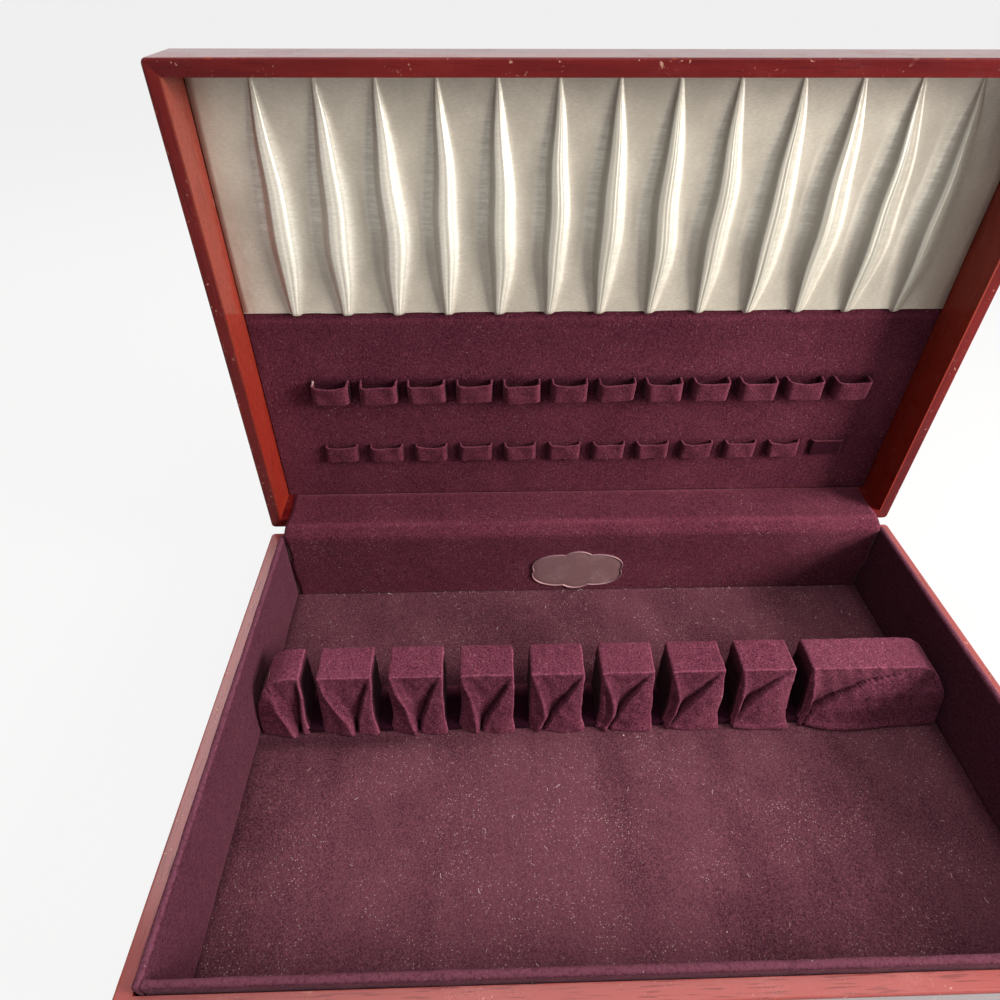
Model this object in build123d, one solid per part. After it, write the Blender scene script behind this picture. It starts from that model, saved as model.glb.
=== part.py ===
"""Silverware chest: a shallow mahogany-stained box lined with felt.

The base holds a slotted rack for forks and spoons. The lid stands open on two
butt hinges and holds knives in felt loops, under a gathered satin lining.
Millimetres, +X right, +Y to the rear, +Z up, origin at the centre of the underside.
The lid is modelled standing open. On the lid, "up" is the distance above its hinge
edge and "in" is the distance from its rim towards its outer panel.
"""
import os
from math import copysign, hypot

from build123d import *

os.makedirs("parts", exist_ok=True)

# Box
chest_width = 400.0
chest_depth = 254.0
base_height = 53.0  # underside to the wooden rim of the base
wall = 7.0  # base walls and lid rails
corner_round = 2.5  # upright corners
edge_round = 1.2  # long outer edges of the base and of the lid's rim
panel_round = 2.0  # outer edge of the lid's panel

# Bottom and floor
bottom_thick = 4.0
bottom_under_wall = 3.5  # how far the bottom board reaches into the rabbet
floor_thick = 3.5  # felt-covered card
card_clear = 0.4  # round every card that drops into a frame

# Felt-covered boards that stand inside the base walls
liner_thick = 3.8
liner_lip = 5.4  # how far they stand above the wooden rim
liner_clear = 0.5
liner_round = 1.6
liner_rear_drop = 1.0  # the rear one stops this far under the rim, clear of the folded cover

# Lid
lid_recess = 24.0  # rim to the felt lining
lining_thick = 2.0  # felt-covered card and the card under the satin
panel_thick = 5.0
satin_start = 134.5  # up from the hinge edge to the lower edge of the satin
satin_thick = 0.8
satin_gap = 0.6  # shadow gap between the satin's card and the rails
pleat_count = 13
pleat_pitch = 27.4
pleat_belly = 8.5  # largest radius of a pleat
pleat_tip = 3.9  # radius at its lower end
pleat_top = 0.7  # radius at its upper end
pleat_overhang = 1.5  # how far the tips hang over the felt
pleat_belly_at = 0.42  # share of the pleat's length from its tip to its belly

# Knife loops
loop_count = 12
loop_pitch = 28.0
loop_felt = 1.2
loop_shift = 1.5  # the rows stand a little right of centre
upper_loop_width = 19.2
upper_loop_up = 80.5
upper_loop_height = 11.5
upper_loop_depth = 7.2
lower_loop_width = 17.8
lower_loop_up = 36.3
lower_loop_height = 10.5
lower_loop_depth = 3.2
loop_round = 2.4

# Hinges
rim_gap = 0.5  # between the rims when the lid is shut
pin_offset = 2.2  # pin axis behind the rear wall
barrel_radius = 1.9
pin_radius = 0.9
pin_clear = 0.05
leaf_thick = 1.0
leaf_reach = 5.8  # into the rim from the rear face
leaf_length = 38.0
leaf_proud = 0.2  # above the wood
leaf_clear = 0.1  # round a leaf in its mortise
knuckle_gap = 0.2
knuckle_middle = 14.0
hinge_inset = 62.0  # end of the chest to the middle of a hinge
screw_count = 3
screw_spacing = 12.5
screw_head_radius = 1.7
screw_shank_radius = 0.9
screw_head_depth = 0.8
screw_length = 9.0
screw_clear = 0.05
screw_into_rim = 3.4  # rear face to the screws' line

# Slotted rack
rack_front = 19.5  # front face of the blocks, from the chest's middle
rack_thick = 18.5
rack_below_rim = 6.5  # top of the blocks under their felt
rack_base_thick = 3.0
rack_end_clear = 1.7
slot_count = 8
slot_pitch = 37.8
slot_first = 29.0  # left end of the rack to the first slot's middle
slot_width = 9.0  # between the felt of two blocks
rack_felt = 1.0
drape_foot = 13.0  # how far the felt runs out in front of the blocks
shoulder_round = 19.0  # outer top corner of the end blocks

# Hinge cover: one felt cloth from the lid's lining to the floor of the base
cover_felt = 1.0
cover_seat = 0.05
cover_end_clear = 0.6
cover_crown = 9.4  # how far the slack cloth rises over the rear liner

# Nameplate
plate_width = 60.0
plate_lobe_height = 25.0
plate_lobe_shift = 3.0
plate_bulge_width = 27.0
plate_bulge_height = 34.0
plate_thick = 0.8
plate_border = 1.3
plate_border_proud = 0.5
plate_above_floor = 2.2
plate_shift = -3.0

# Places worked out from the sizes above
half_width = chest_width / 2
half_depth = chest_depth / 2
axis_y = half_depth + pin_offset
axis_z = base_height + rim_gap / 2
lid_y = axis_y + rim_gap / 2
lid_z = axis_z + pin_offset
lid_thick = lid_recess + lining_thick + panel_thick
floor_z = bottom_thick + floor_thick
inner_x = half_width - wall
inner_y = half_depth - wall
liner_top = base_height + liner_lip
room_x = inner_x - liner_clear - liner_thick
room_y = inner_y - liner_clear - liner_thick
hinge_places = [-half_width + hinge_inset, half_width - hinge_inset]
over = 1.0  # how far a cutting tool runs past the surface it cuts


def block(x0, x1, y0, y1, z0, z1):
    """A box between two corners."""
    size = (x1 - x0, y1 - y0, z1 - z0)
    middle = ((x0 + x1) / 2, (y0 + y1) / 2, (z0 + z1) / 2)
    return Pos(*middle) * Box(*size)


def lid_block(x0, x1, up0, up1, in0, in1):
    """A box on the lid, by its distance up from the hinge edge and in from the rim."""
    return block(x0, x1, lid_y + in0, lid_y + in1, lid_z + up0, lid_z + up1)


def side_outline(points, x0, x1):
    """A closed outline of (y, z) points, made solid from x0 to x1."""
    outline = Polyline(*[(x0, y, z) for y, z in points], close=True)
    return extrude(make_face(outline), amount=x1 - x0, dir=(1, 0, 0))


def band(points, thick):
    """The outline of a strip of cloth that follows (y, z) points."""
    left = []
    right = []
    for i, (y, z) in enumerate(points):
        before = points[max(i - 1, 0)]
        after = points[min(i + 1, len(points) - 1)]
        dy = after[0] - before[0]
        dz = after[1] - before[1]
        reach = thick / 2 / hypot(dy, dz)
        left.append((y - dz * reach, z + dy * reach))
        right.append((y + dz * reach, z - dy * reach))
    return left + right[::-1]


def save(node, *solids):
    """Write one node; several solids become one group."""
    shape = solids[0] if len(solids) == 1 else Compound(children=list(solids))
    shape.label = node
    export_step(shape, os.path.join("parts", node + ".step"))


def mitred_sides(frame, place, through, names):
    """Split a rectangular frame at its corners into four mitred sides.

    place turns plan coordinates, counted from the frame's middle, into a point behind
    the frame, and through is the vector from there to beyond it. The names are those
    of the sides at low and high second coordinate, then at low and high X.
    """
    low_x = -half_width - over
    high_x = half_width + over
    low_v = -half_depth - over
    high_v = half_depth + over
    inward = wall + 2 * over
    corners = [
        [(low_x, low_v), (high_x, low_v)],
        [(high_x, high_v), (low_x, high_v)],
        [(low_x, high_v), (low_x, low_v)],
        [(high_x, low_v), (high_x, high_v)],
    ]
    sides = {}
    for name, outer in zip(names, corners):
        inner = [(u - copysign(inward, u), v - copysign(inward, v)) for u, v in outer]
        plan = outer + inner[::-1]
        outline = Polyline(*[place(u, v) for u, v in plan], close=True)
        sides[name] = frame & extrude(make_face(outline), amount=through.length, dir=through)
    return sides


def leaf_seat_on_base(x):
    """The mortise for a hinge leaf in the rear wall's rim."""
    half = leaf_length / 2 + leaf_clear
    low = base_height + leaf_proud - leaf_thick
    front = half_depth - leaf_reach - leaf_clear
    return block(x - half, x + half, front, half_depth + over, low, base_height + over)


def leaf_seat_on_lid(x):
    """The mortise for a hinge leaf in the lid's rear rail."""
    half = leaf_length / 2 + leaf_clear
    deep = leaf_thick - leaf_proud
    return lid_block(x - half, x + half, -over, leaf_reach + leaf_clear, -over, deep)


def screw_line(x):
    """Where the screws of one leaf stand along X."""
    return [x + (i - (screw_count - 1) / 2) * screw_spacing for i in range(screw_count)]


def screw(clear=0.0):
    """A countersunk screw, head up at the origin, or the hole for it."""
    head_top = screw_head_radius + clear
    shank = screw_shank_radius + clear
    length = screw_length + (over if clear else 0.0)
    head = Pos(0, 0, -screw_head_depth / 2) * Cone(shank, head_top, screw_head_depth)
    body = Pos(0, 0, -length / 2) * Cylinder(shank, length)
    return head + body


def screws_in_base(x, clear=0.0):
    y = half_depth - screw_into_rim
    z = base_height + leaf_proud
    return [Pos(at, y, z) * screw(clear) for at in screw_line(x)]


def screws_in_lid(x, clear=0.0):
    y = lid_y - leaf_proud
    z = lid_z + screw_into_rim
    return [Pos(at, y, z) * Rot(90, 0, 0) * screw(clear) for at in screw_line(x)]


def cut_all(solid, tools):
    for tool in tools:
        solid = solid - tool
    return solid


def make_base_box():
    """Four mitred walls and the bottom board in their rabbet."""
    body = block(-half_width, half_width, -half_depth, half_depth, 0, base_height)
    body = fillet(body.edges().filter_by(Axis.Z), corner_round)
    rim_edges = body.edges().group_by(Axis.Z)[-1]
    foot_edges = body.edges().group_by(Axis.Z)[0]
    body = fillet(rim_edges + foot_edges, edge_round)
    body = body - block(-inner_x, inner_x, -inner_y, inner_y, -over, base_height + over)
    board_x = inner_x + bottom_under_wall
    board_y = inner_y + bottom_under_wall
    body = body - block(-board_x, board_x, -board_y, board_y, -over, bottom_thick)
    names = ["base_front_wall", "base_rear_wall", "base_left_wall", "base_right_wall"]
    walls = mitred_sides(body, lambda u, v: (u, v, -over), Vector(0, 0, base_height + 2 * over), names)
    for x in hinge_places:
        rear = walls["base_rear_wall"] - leaf_seat_on_base(x)
        walls["base_rear_wall"] = cut_all(rear, screws_in_base(x, screw_clear))
    for name, solid in walls.items():
        save(name, solid)
    save("bottom_board", block(-board_x, board_x, -board_y, board_y, 0, bottom_thick))
    floor_x = inner_x - card_clear
    floor_y = inner_y - card_clear
    save("floor_pad", block(-floor_x, floor_x, -floor_y, floor_y, bottom_thick, floor_z))


def make_liners():
    """Felt-covered boards round the inside; all but the rear one stand a lip above the rim."""
    out_x = inner_x - liner_clear
    out_y = inner_y - liner_clear
    sides = {
        "liner_left": (-out_x, -room_x, -out_y, out_y),
        "liner_right": (room_x, out_x, -out_y, out_y),
        "liner_front": (-room_x, room_x, -out_y, -room_y),
    }
    for name, (x0, x1, y0, y1) in sides.items():
        board = block(x0, x1, y0, y1, floor_z, liner_top)
        along = Axis.X if name == "liner_front" else Axis.Y
        top_edges = board.edges().filter_by(along).group_by(Axis.Z)[-1]
        save(name, fillet(top_edges, liner_round))
    rear_front = room_y + cover_felt
    rear_top = base_height - liner_rear_drop
    rear = block(-room_x, room_x, rear_front, out_y, floor_z, rear_top)
    top_edges = rear.edges().filter_by(Axis.X).group_by(Axis.Z)[-1]
    save("liner_rear", fillet(top_edges, (out_y - rear_front) / 2 - card_clear))


def block_ends():
    """Left and right ends of the rack's felt-covered blocks, slot by slot."""
    rack_left = -room_x + rack_end_clear
    left = rack_left
    ends = []
    for i in range(slot_count):
        middle = rack_left + slot_first + i * slot_pitch
        ends.append((left, middle - slot_width / 2))
        left = middle + slot_width / 2
    ends.append((left, room_x - rack_end_clear))
    return ends


def round_shoulder(solid, side, radius):
    """Round the outer top corner of an end block: side is -1 left, 1 right, 0 for neither."""
    if side == 0:
        return solid
    edges = solid.edges().filter_by(Axis.Y).group_by(Axis.Z)[-1].sort_by(Axis.X)
    return fillet(edges[0] if side < 0 else edges[-1], radius)


def make_rack():
    """A base strip, a row of blocks and a felt cap over each, draped out in front."""
    rear = rack_front + rack_thick
    low = floor_z + rack_base_thick
    top = base_height - rack_below_rim
    foot = rack_front - drape_foot
    ends = block_ends()
    strip_left = ends[0][0] + rack_felt
    strip_right = ends[-1][1] - rack_felt
    save("rack_base", block(strip_left, strip_right, rack_front, rear, floor_z, low))
    drape = [
        (foot, floor_z),
        (rack_front - rack_felt, top + rack_felt),
        (rear + rack_felt, top + rack_felt),
        (rear + rack_felt, floor_z),
    ]
    felts = []
    for i, (x0, x1) in enumerate(ends):
        side = -1 if i == 0 else 1 if i == slot_count else 0
        core = block(x0 + rack_felt, x1 - rack_felt, rack_front, rear, low, top)
        save("rack_block_%d" % (i + 1), round_shoulder(core, side, shoulder_round))
        skin = rack_felt - cover_seat
        hollow = block(x0 + skin, x1 - skin, rack_front - cover_seat, rear + cover_seat,
                       low - over, top + cover_seat)
        hollow = round_shoulder(hollow, side, shoulder_round + cover_seat)
        strip_room = block(x0 - over, x1 + over, rack_front - cover_seat, rear + cover_seat,
                           floor_z - over, low + cover_seat)
        cap = round_shoulder(side_outline(drape, x0, x1), side, shoulder_round + rack_felt)
        felts.append(cap - hollow - strip_room)
    save("rack_felt", *felts)


def make_lid_box():
    """Four mitred rails and the outer panel."""
    high = lid_z + chest_depth
    rails = block(-half_width, half_width, lid_y, lid_y + lid_recess + lining_thick, lid_z, high)
    rails = fillet(rails.edges().filter_by(Axis.Y), corner_round)
    rim_edges = rails.edges().group_by(Axis.Y)[0]
    rails = fillet(rim_edges, edge_round)
    rails = rails - lid_block(-inner_x, inner_x, wall, chest_depth - wall, -over, lid_thick)
    names = ["lid_rear_rail", "lid_front_rail", "lid_left_rail", "lid_right_rail"]
    middle_z = lid_z + half_depth
    through = Vector(0, lid_thick + 2 * over, 0)
    sides = mitred_sides(rails, lambda u, v: (u, lid_y - over, middle_z + v), through, names)
    for x in hinge_places:
        rear = sides["lid_rear_rail"] - leaf_seat_on_lid(x)
        sides["lid_rear_rail"] = cut_all(rear, screws_in_lid(x, screw_clear))
    for name, solid in sides.items():
        save(name, solid)
    panel = lid_block(-half_width, half_width, 0, chest_depth, lid_recess + lining_thick, lid_thick)
    panel = fillet(panel.edges().filter_by(Axis.Y), corner_round)
    panel = fillet(panel.edges().group_by(Axis.Y)[-1], panel_round)
    save("lid_panel", panel)


def pleat(x):
    """One gathered pleat: half a spindle, thin at the top and blunt at its lower tip."""
    sheet_face = lid_y + lid_recess - satin_thick / 2
    tip = lid_z + satin_start - pleat_overhang
    top = lid_z + chest_depth - wall - satin_gap
    length = top - tip
    belly = tip + length * pleat_belly_at
    shoulder = tip + pleat_tip / 2
    start = (x, sheet_face, tip)
    side = Line(start, (x + pleat_tip * 0.75, sheet_face, tip))
    rounding = Line(side @ 1, (x + pleat_tip, sheet_face, shoulder))
    swell = Spline(
        rounding @ 1,
        (x + pleat_belly, sheet_face, belly),
        (x + pleat_top, sheet_face, top),
    )
    close = Line(swell @ 1, (x, sheet_face, top))
    back = Line(close @ 1, start)
    profile = make_face(Curve() + [side, rounding, swell, close, back])
    turned = revolve(profile, Axis((x, sheet_face, tip), (0, 0, 1)), 180)
    if turned.center().Y > sheet_face:
        turned = turned.rotate(Axis((x, sheet_face, tip), (0, 0, 1)), 180)
    return turned


def make_lid_lining():
    """Felt-covered card below, card and gathered satin above."""
    edge = inner_x - card_clear
    far = lid_recess + lining_thick
    low = wall + card_clear
    save("loop_board", lid_block(-edge, edge, low, satin_start, lid_recess, far))
    satin_edge = inner_x - satin_gap
    satin_high = chest_depth - wall - satin_gap
    save("satin_card", lid_block(-satin_edge, satin_edge, satin_start, satin_high, lid_recess, far))
    face = lid_recess - satin_thick
    satin = lid_block(-satin_edge, satin_edge, satin_start, satin_high, face, lid_recess)
    for i in range(pleat_count):
        x = (i - (pleat_count - 1) / 2) * pleat_pitch
        satin = satin + pleat(x)
    save("satin_lining", satin)


def knife_loop(x, width, up, height, depth):
    """A felt strap that stands off the lining, open at its top and bottom."""
    outer = lid_block(x - width / 2, x + width / 2, up, up + height,
                      lid_recess - depth, lid_recess)
    corners = outer.edges().filter_by(Axis.Z).group_by(Axis.Y)[0]
    rounding = min(loop_round, depth - loop_felt)
    outer = fillet(corners, rounding)
    half = width / 2 - loop_felt
    inner = lid_block(x - half, x + half, up - over, up + height + over,
                      lid_recess - depth + loop_felt, lid_recess + over)
    corners = inner.edges().filter_by(Axis.Z).group_by(Axis.Y)[0]
    inner = fillet(corners, rounding - loop_felt / 2)
    return outer - inner


def make_loops():
    rows = {
        "upper_knife_loops": (
            upper_loop_width, upper_loop_up, upper_loop_height, upper_loop_depth),
        "lower_knife_loops": (
            lower_loop_width, lower_loop_up, lower_loop_height, lower_loop_depth),
    }
    for name, (width, up, height, depth) in rows.items():
        places = [(i - (loop_count - 1) / 2) * loop_pitch + loop_shift for i in range(loop_count)]
        save(name, *[knife_loop(x, width, up, height, depth) for x in places])


def make_hinges():
    """Two butt hinges: a base leaf, a lid leaf and a pin in each."""
    leaf_half = leaf_length / 2
    middle_half = knuckle_middle / 2
    barrel_at = Rot(0, 90, 0)
    pins = []
    for side, x in zip(["left", "right"], hinge_places):
        axis = Pos(x, axis_y, axis_z) * barrel_at
        barrel = axis * Cylinder(barrel_radius, leaf_length)
        bore = axis * Cylinder(pin_radius + pin_clear, leaf_length + 2 * over)
        low = base_height + leaf_proud - leaf_thick
        top = base_height + leaf_proud
        plate = block(x - leaf_half, x + leaf_half, half_depth - leaf_reach, axis_y, low, top)
        around = 2 * barrel_radius
        middle = block(x - middle_half - knuckle_gap, x + middle_half + knuckle_gap,
                       axis_y - barrel_radius - knuckle_gap, axis_y + around,
                       axis_z - around, axis_z + around)
        base_leaf = plate + barrel - middle - bore
        save("hinge_%s_base_leaf" % side, cut_all(base_leaf, screws_in_base(x, screw_clear)))
        lid_plate = block(x - leaf_half, x + leaf_half, lid_y - leaf_proud,
                          lid_y - leaf_proud + leaf_thick, axis_z, lid_z + leaf_reach)
        lid_leaf = lid_plate + barrel
        for end in (-1, 1):
            near = x + end * middle_half
            far = x + end * (leaf_half + over)
            lid_leaf = lid_leaf - block(min(near, far), max(near, far), axis_y - around,
                                        axis_y + around, axis_z - around,
                                        axis_z + barrel_radius + knuckle_gap)
        lid_leaf = lid_leaf - bore
        save("hinge_%s_lid_leaf" % side, cut_all(lid_leaf, screws_in_lid(x, screw_clear)))
        pins.append(axis * Cylinder(pin_radius, leaf_length))
    save("hinge_pins", *pins)
    save("base_hinge_screws", *[s for x in hinge_places for s in screws_in_base(x)])
    save("lid_hinge_screws", *[s for x in hinge_places for s in screws_in_lid(x)])


def make_hinge_cover():
    """Felt over the lid's rear rail, the hinge gap and the rear wall's inside."""
    half = cover_felt / 2
    rail_face = lid_z + wall + cover_seat + half
    wall_face = room_y + half - cover_seat
    crown = base_height - liner_rear_drop + cover_crown
    path = [
        (lid_y + lid_recess - card_clear, rail_face),
        (lid_y + half, rail_face),
        (inner_y, (rail_face + crown) / 2),
        (room_y + cover_felt + half, crown),
        (room_y + cover_felt / 4, crown - cover_felt),
        (wall_face, crown - 2 * cover_felt - half),
        (wall_face, floor_z),
    ]
    outline = band(path, cover_felt)
    width = room_x - cover_end_clear
    save("hinge_cover", side_outline(outline, -width, width))


def plate_outline(shrink):
    """The scalloped outline: two wide lobes and a round bulge above and below."""
    lobe = Ellipse(plate_width / 2 - shrink, plate_lobe_height / 2 - shrink)
    bulge = Ellipse(plate_bulge_width / 2 - shrink, plate_bulge_height / 2 - shrink)
    return Pos(0, plate_lobe_shift) * lobe + Pos(0, -plate_lobe_shift) * lobe + bulge


def make_nameplate():
    """A bare plate with a raised border, flat on the rear wall's felt."""
    middle_z = floor_z + plate_above_floor + plate_bulge_height / 2
    face_y = room_y - cover_seat
    front = Plane(origin=(plate_shift, face_y, middle_z), x_dir=(1, 0, 0), z_dir=(0, -1, 0))
    sheet = extrude(front * plate_outline(0), plate_thick)
    border = extrude(front * (plate_outline(0) - plate_outline(plate_border)),
                     plate_thick + plate_border_proud)
    save("nameplate", sheet + border)


make_base_box()
make_liners()
make_rack()
make_lid_box()
make_lid_lining()
make_loops()
make_hinges()
make_hinge_cover()
make_nameplate()
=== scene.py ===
from math import cos, pi, radians, sin

import bmesh
import bpy
import numpy as np
from mathutils import Matrix, Vector


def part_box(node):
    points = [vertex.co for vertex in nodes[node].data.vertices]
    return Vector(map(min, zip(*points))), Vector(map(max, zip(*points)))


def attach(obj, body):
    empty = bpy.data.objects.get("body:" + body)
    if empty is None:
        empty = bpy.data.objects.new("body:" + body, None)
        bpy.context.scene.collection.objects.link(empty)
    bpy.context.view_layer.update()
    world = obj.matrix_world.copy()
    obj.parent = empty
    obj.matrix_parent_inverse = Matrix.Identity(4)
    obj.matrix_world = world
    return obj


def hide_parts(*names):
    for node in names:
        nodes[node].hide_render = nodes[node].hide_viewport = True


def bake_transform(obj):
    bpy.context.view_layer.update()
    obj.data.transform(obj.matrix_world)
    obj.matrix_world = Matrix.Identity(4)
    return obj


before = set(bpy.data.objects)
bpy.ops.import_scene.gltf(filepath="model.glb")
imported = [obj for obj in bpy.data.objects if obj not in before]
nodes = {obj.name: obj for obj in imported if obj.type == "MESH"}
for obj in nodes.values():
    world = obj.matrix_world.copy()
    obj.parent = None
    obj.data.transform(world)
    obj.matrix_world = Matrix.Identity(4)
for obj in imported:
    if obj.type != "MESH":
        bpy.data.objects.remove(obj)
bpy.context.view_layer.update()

MM = 0.001

# Places read from the frame
base_low = Vector(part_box("base_front_wall")[0])
base_high = Vector(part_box("base_rear_wall")[1])
base_high.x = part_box("base_right_wall")[1].x
lid_low = Vector(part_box("lid_rear_rail")[0])
lid_high = Vector(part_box("lid_panel")[1])
floor_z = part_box("floor_pad")[1].z
rack_low, rack_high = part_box("rack_felt")
lining_low, lining_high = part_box("loop_board")
satin_low, satin_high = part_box("satin_card")
cover_low, cover_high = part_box("hinge_cover")
plate_low, plate_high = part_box("nameplate")
satin_face = lining_low.y - 0.5 * MM  # face of the cloth between the pleats
rim_z = base_high.z
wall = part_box("base_left_wall")[1].x - base_low.x

# ---------------------------------------------------------------- node helpers


def add(tree, kind, **settings):
    """Add a node with its settings."""
    node = tree.nodes.new(kind)
    for key, value in settings.items():
        setattr(node, key, value)
    return node


class Value:
    """A node's output to reckon with: a * b + c adds the math nodes that work it out."""

    def __init__(self, socket):
        self.socket = socket
        self.tree = socket.id_data

    def __mul__(self, other):
        return calculate("MULTIPLY", self, other)

    def __truediv__(self, other):
        return calculate("DIVIDE", self, other)

    def __pow__(self, other):
        return calculate("POWER", self, other)

    def __add__(self, other):
        return calculate("ADD", self, other)

    def __radd__(self, other):
        return calculate("ADD", other, self)

    def __sub__(self, other):
        return calculate("SUBTRACT", self, other)

    def __rsub__(self, other):
        return calculate("SUBTRACT", other, self)

    def __abs__(self):
        return calculate("ABSOLUTE", self)

    def clamped(self):
        """The same result, kept between 0 and 1."""
        self.socket.node.use_clamp = True
        return self


def feed(socket, value):
    """Link a value to an input, or set the input to a number, a vector or a colour."""
    if isinstance(value, Value):
        value.tree.links.new(value.socket, socket)
    elif socket.type == "RGBA":
        socket.default_value = (*value, 1)
    else:
        socket.default_value = value


def feed_all(node, **given):
    """Feed a node's inputs by name, with _ for the spaces."""
    for name, value in given.items():
        feed(node.inputs[name.replace("_", " ")], value)
    return node


def calculate(operation, *given):
    """A math node on values and numbers."""
    tree = next(value.tree for value in given if isinstance(value, Value))
    node = add(tree, "ShaderNodeMath", operation=operation)
    for socket, value in zip(node.inputs, given):
        feed(socket, value)
    return Value(node.outputs[0])


def higher(a, b):
    """The larger of two values."""
    return calculate("MAXIMUM", a, b)


def lower(a, b):
    """The smaller of two values."""
    return calculate("MINIMUM", a, b)


def mix(factor, a, b):
    """Mix two colours; each is a value or an RGB triple."""
    node = add(factor.tree, "ShaderNodeMix", data_type="RGBA")
    for socket, value in zip((node.inputs[0], node.inputs[6], node.inputs[7]), (factor, a, b)):
        feed(socket, value)
    return Value(node.outputs[2])


def span(value, low, high, to_low=0.0, to_high=1.0):
    """Map a value from one range to another, smoothly and clamped."""
    node = add(value.tree, "ShaderNodeMapRange", interpolation_type="SMOOTHSTEP")
    for socket, number in zip(node.inputs, (value, low, high, to_low, to_high)):
        feed(socket, number)
    return Value(node.outputs[0])


def mapped(place, **given):
    """The position, turned, moved or stretched."""
    return Value(feed_all(add(place.tree, "ShaderNodeMapping"), Vector=place, **given).outputs[0])


def split(place):
    """The position's X, Y and Z."""
    node = feed_all(add(place.tree, "ShaderNodeSeparateXYZ"), Vector=place)
    return [Value(socket) for socket in node.outputs]


def noise(place, scale, detail=2.0, rough=0.5, stretch=None, distortion=0.0):
    """A noise texture, with its coordinates stretched by a triple first."""
    if stretch:
        place = mapped(place, Scale=stretch)
    node = feed_all(add(place.tree, "ShaderNodeTexNoise"), Vector=place, Scale=scale,
                    Detail=detail, Roughness=rough, Distortion=distortion)
    return Value(node.outputs[0])


def attribute(tree, name):
    """A number stored on the mesh's points."""
    return Value(add(tree, "ShaderNodeAttribute", attribute_name=name).outputs["Fac"])


def facing(tree, blend):
    """0 where the surface faces the viewer and 1 where it is seen at a glance."""
    node = feed_all(add(tree, "ShaderNodeLayerWeight"), Blend=blend)
    return Value(node.outputs["Facing"])


def bump(shader, height, strength, distance):
    """Raise and lower the shader's surface by a height."""
    node = feed_all(add(height.tree, "ShaderNodeBump"), Strength=strength, Distance=distance,
                    Height=height)
    feed(shader.inputs["Normal"], Value(node.outputs[0]))


def new_group(name, inputs, outputs, kind="ShaderNodeTree"):
    """A node group with its sockets' kinds; returns it, its inputs' values and its output."""
    group = bpy.data.node_groups.new(name, kind)
    for sockets, direction in ((inputs, "INPUT"), (outputs, "OUTPUT")):
        for socket, what in sockets.items():
            group.interface.new_socket(socket, in_out=direction, socket_type="NodeSocket" + what)
    given = add(group, "NodeGroupInput")
    values = {socket: Value(given.outputs[socket]) for socket in inputs}
    return group, values, add(group, "NodeGroupOutput")


def use_group(group, place, **given):
    """Place a shader node group, feed its inputs and return its outputs' values by name."""
    node = add(place.tree, "ShaderNodeGroup", node_tree=group)
    feed_all(node, Position=place, **given)
    return {socket.name: Value(socket) for socket in node.outputs}


def new_material(name, **constants):
    """A material with one Principled shader; returns it, its shader and the position."""
    material = bpy.data.materials.new(name)
    material.use_nodes = True
    shader = feed_all(material.node_tree.nodes["Principled BSDF"], **constants)
    place = Value(add(material.node_tree, "ShaderNodeTexCoord").outputs["Object"])
    return material, shader, place


# ---------------------------------------------------------------- patterns


def specks(place, scale, radius, share):
    """Small round specks in some cells of a 3-D lattice: share is the part of cells filled."""
    cells = feed_all(add(place.tree, "ShaderNodeTexVoronoi"), Scale=scale, Vector=place)
    dot = span(Value(cells.outputs["Distance"]), radius * 0.4, radius, 1.0, 0.0)
    chance = feed_all(add(place.tree, "ShaderNodeSeparateColor"),
                      Color=Value(cells.outputs["Color"]))
    chosen = calculate("GREATER_THAN", Value(chance.outputs[0]), 1.0 - share)
    strength = span(Value(chance.outputs[1]), 0.1, 1.0, 0.2, 1.0)
    return dot * chosen * strength


def make_nap_group():
    """Felt: grainy nap, brushed streaks, worn patches and lint specks, from a position."""
    inputs = {"Position": "Vector", "Streaks": "Float", "Patches": "Float", "Specks": "Float",
              "Lint": "Float", "Shade": "Color", "Nap": "Color", "Fibre Colour": "Color",
              "Lint Colour": "Color"}
    group, given, out = new_group("felt_nap", inputs, {"Height": "Float", "Colour": "Color"})
    place = given["Position"]
    fine = noise(place, 1500.0, 3.0, 0.65)
    clumps = noise(place, 800.0)
    cloud = noise(place, 17.0, 5.0, 0.6)
    brushed = noise(place, 34.0, 4.0, 0.6, stretch=(0.16, 1.0, 1.0))
    tone = span(fine, 0.40, 0.62) * 0.54 + span(clumps, 0.38, 0.64) * 0.28
    worn = span(cloud, 0.36, 0.64) * given["Patches"]
    streaks = span(brushed, 0.3, 0.7) * given["Streaks"]
    colour = mix((tone + (worn + streaks)).clamped(), given["Shade"], given["Nap"])
    curls = noise(place, 330.0, distortion=1.6)
    fibres = span(abs(curls - 0.5), 0.0, 0.035, 1.0, 0.0) * 0.42
    colour = mix(fibres, colour, given["Fibre Colour"])
    crowd = span(noise(place, 34.0, 3.0, 0.6), 0.40, 0.64, 0.10, 1.15)
    dust = specks(place, 860.0, 0.32, given["Specks"]) * (crowd * 0.45)
    bright = specks(place, 330.0, 0.17, given["Lint"])
    colour = mix(higher(dust, bright), colour, given["Lint Colour"])
    feed_all(out, Colour=colour, Height=fine + clumps)
    return group


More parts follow.
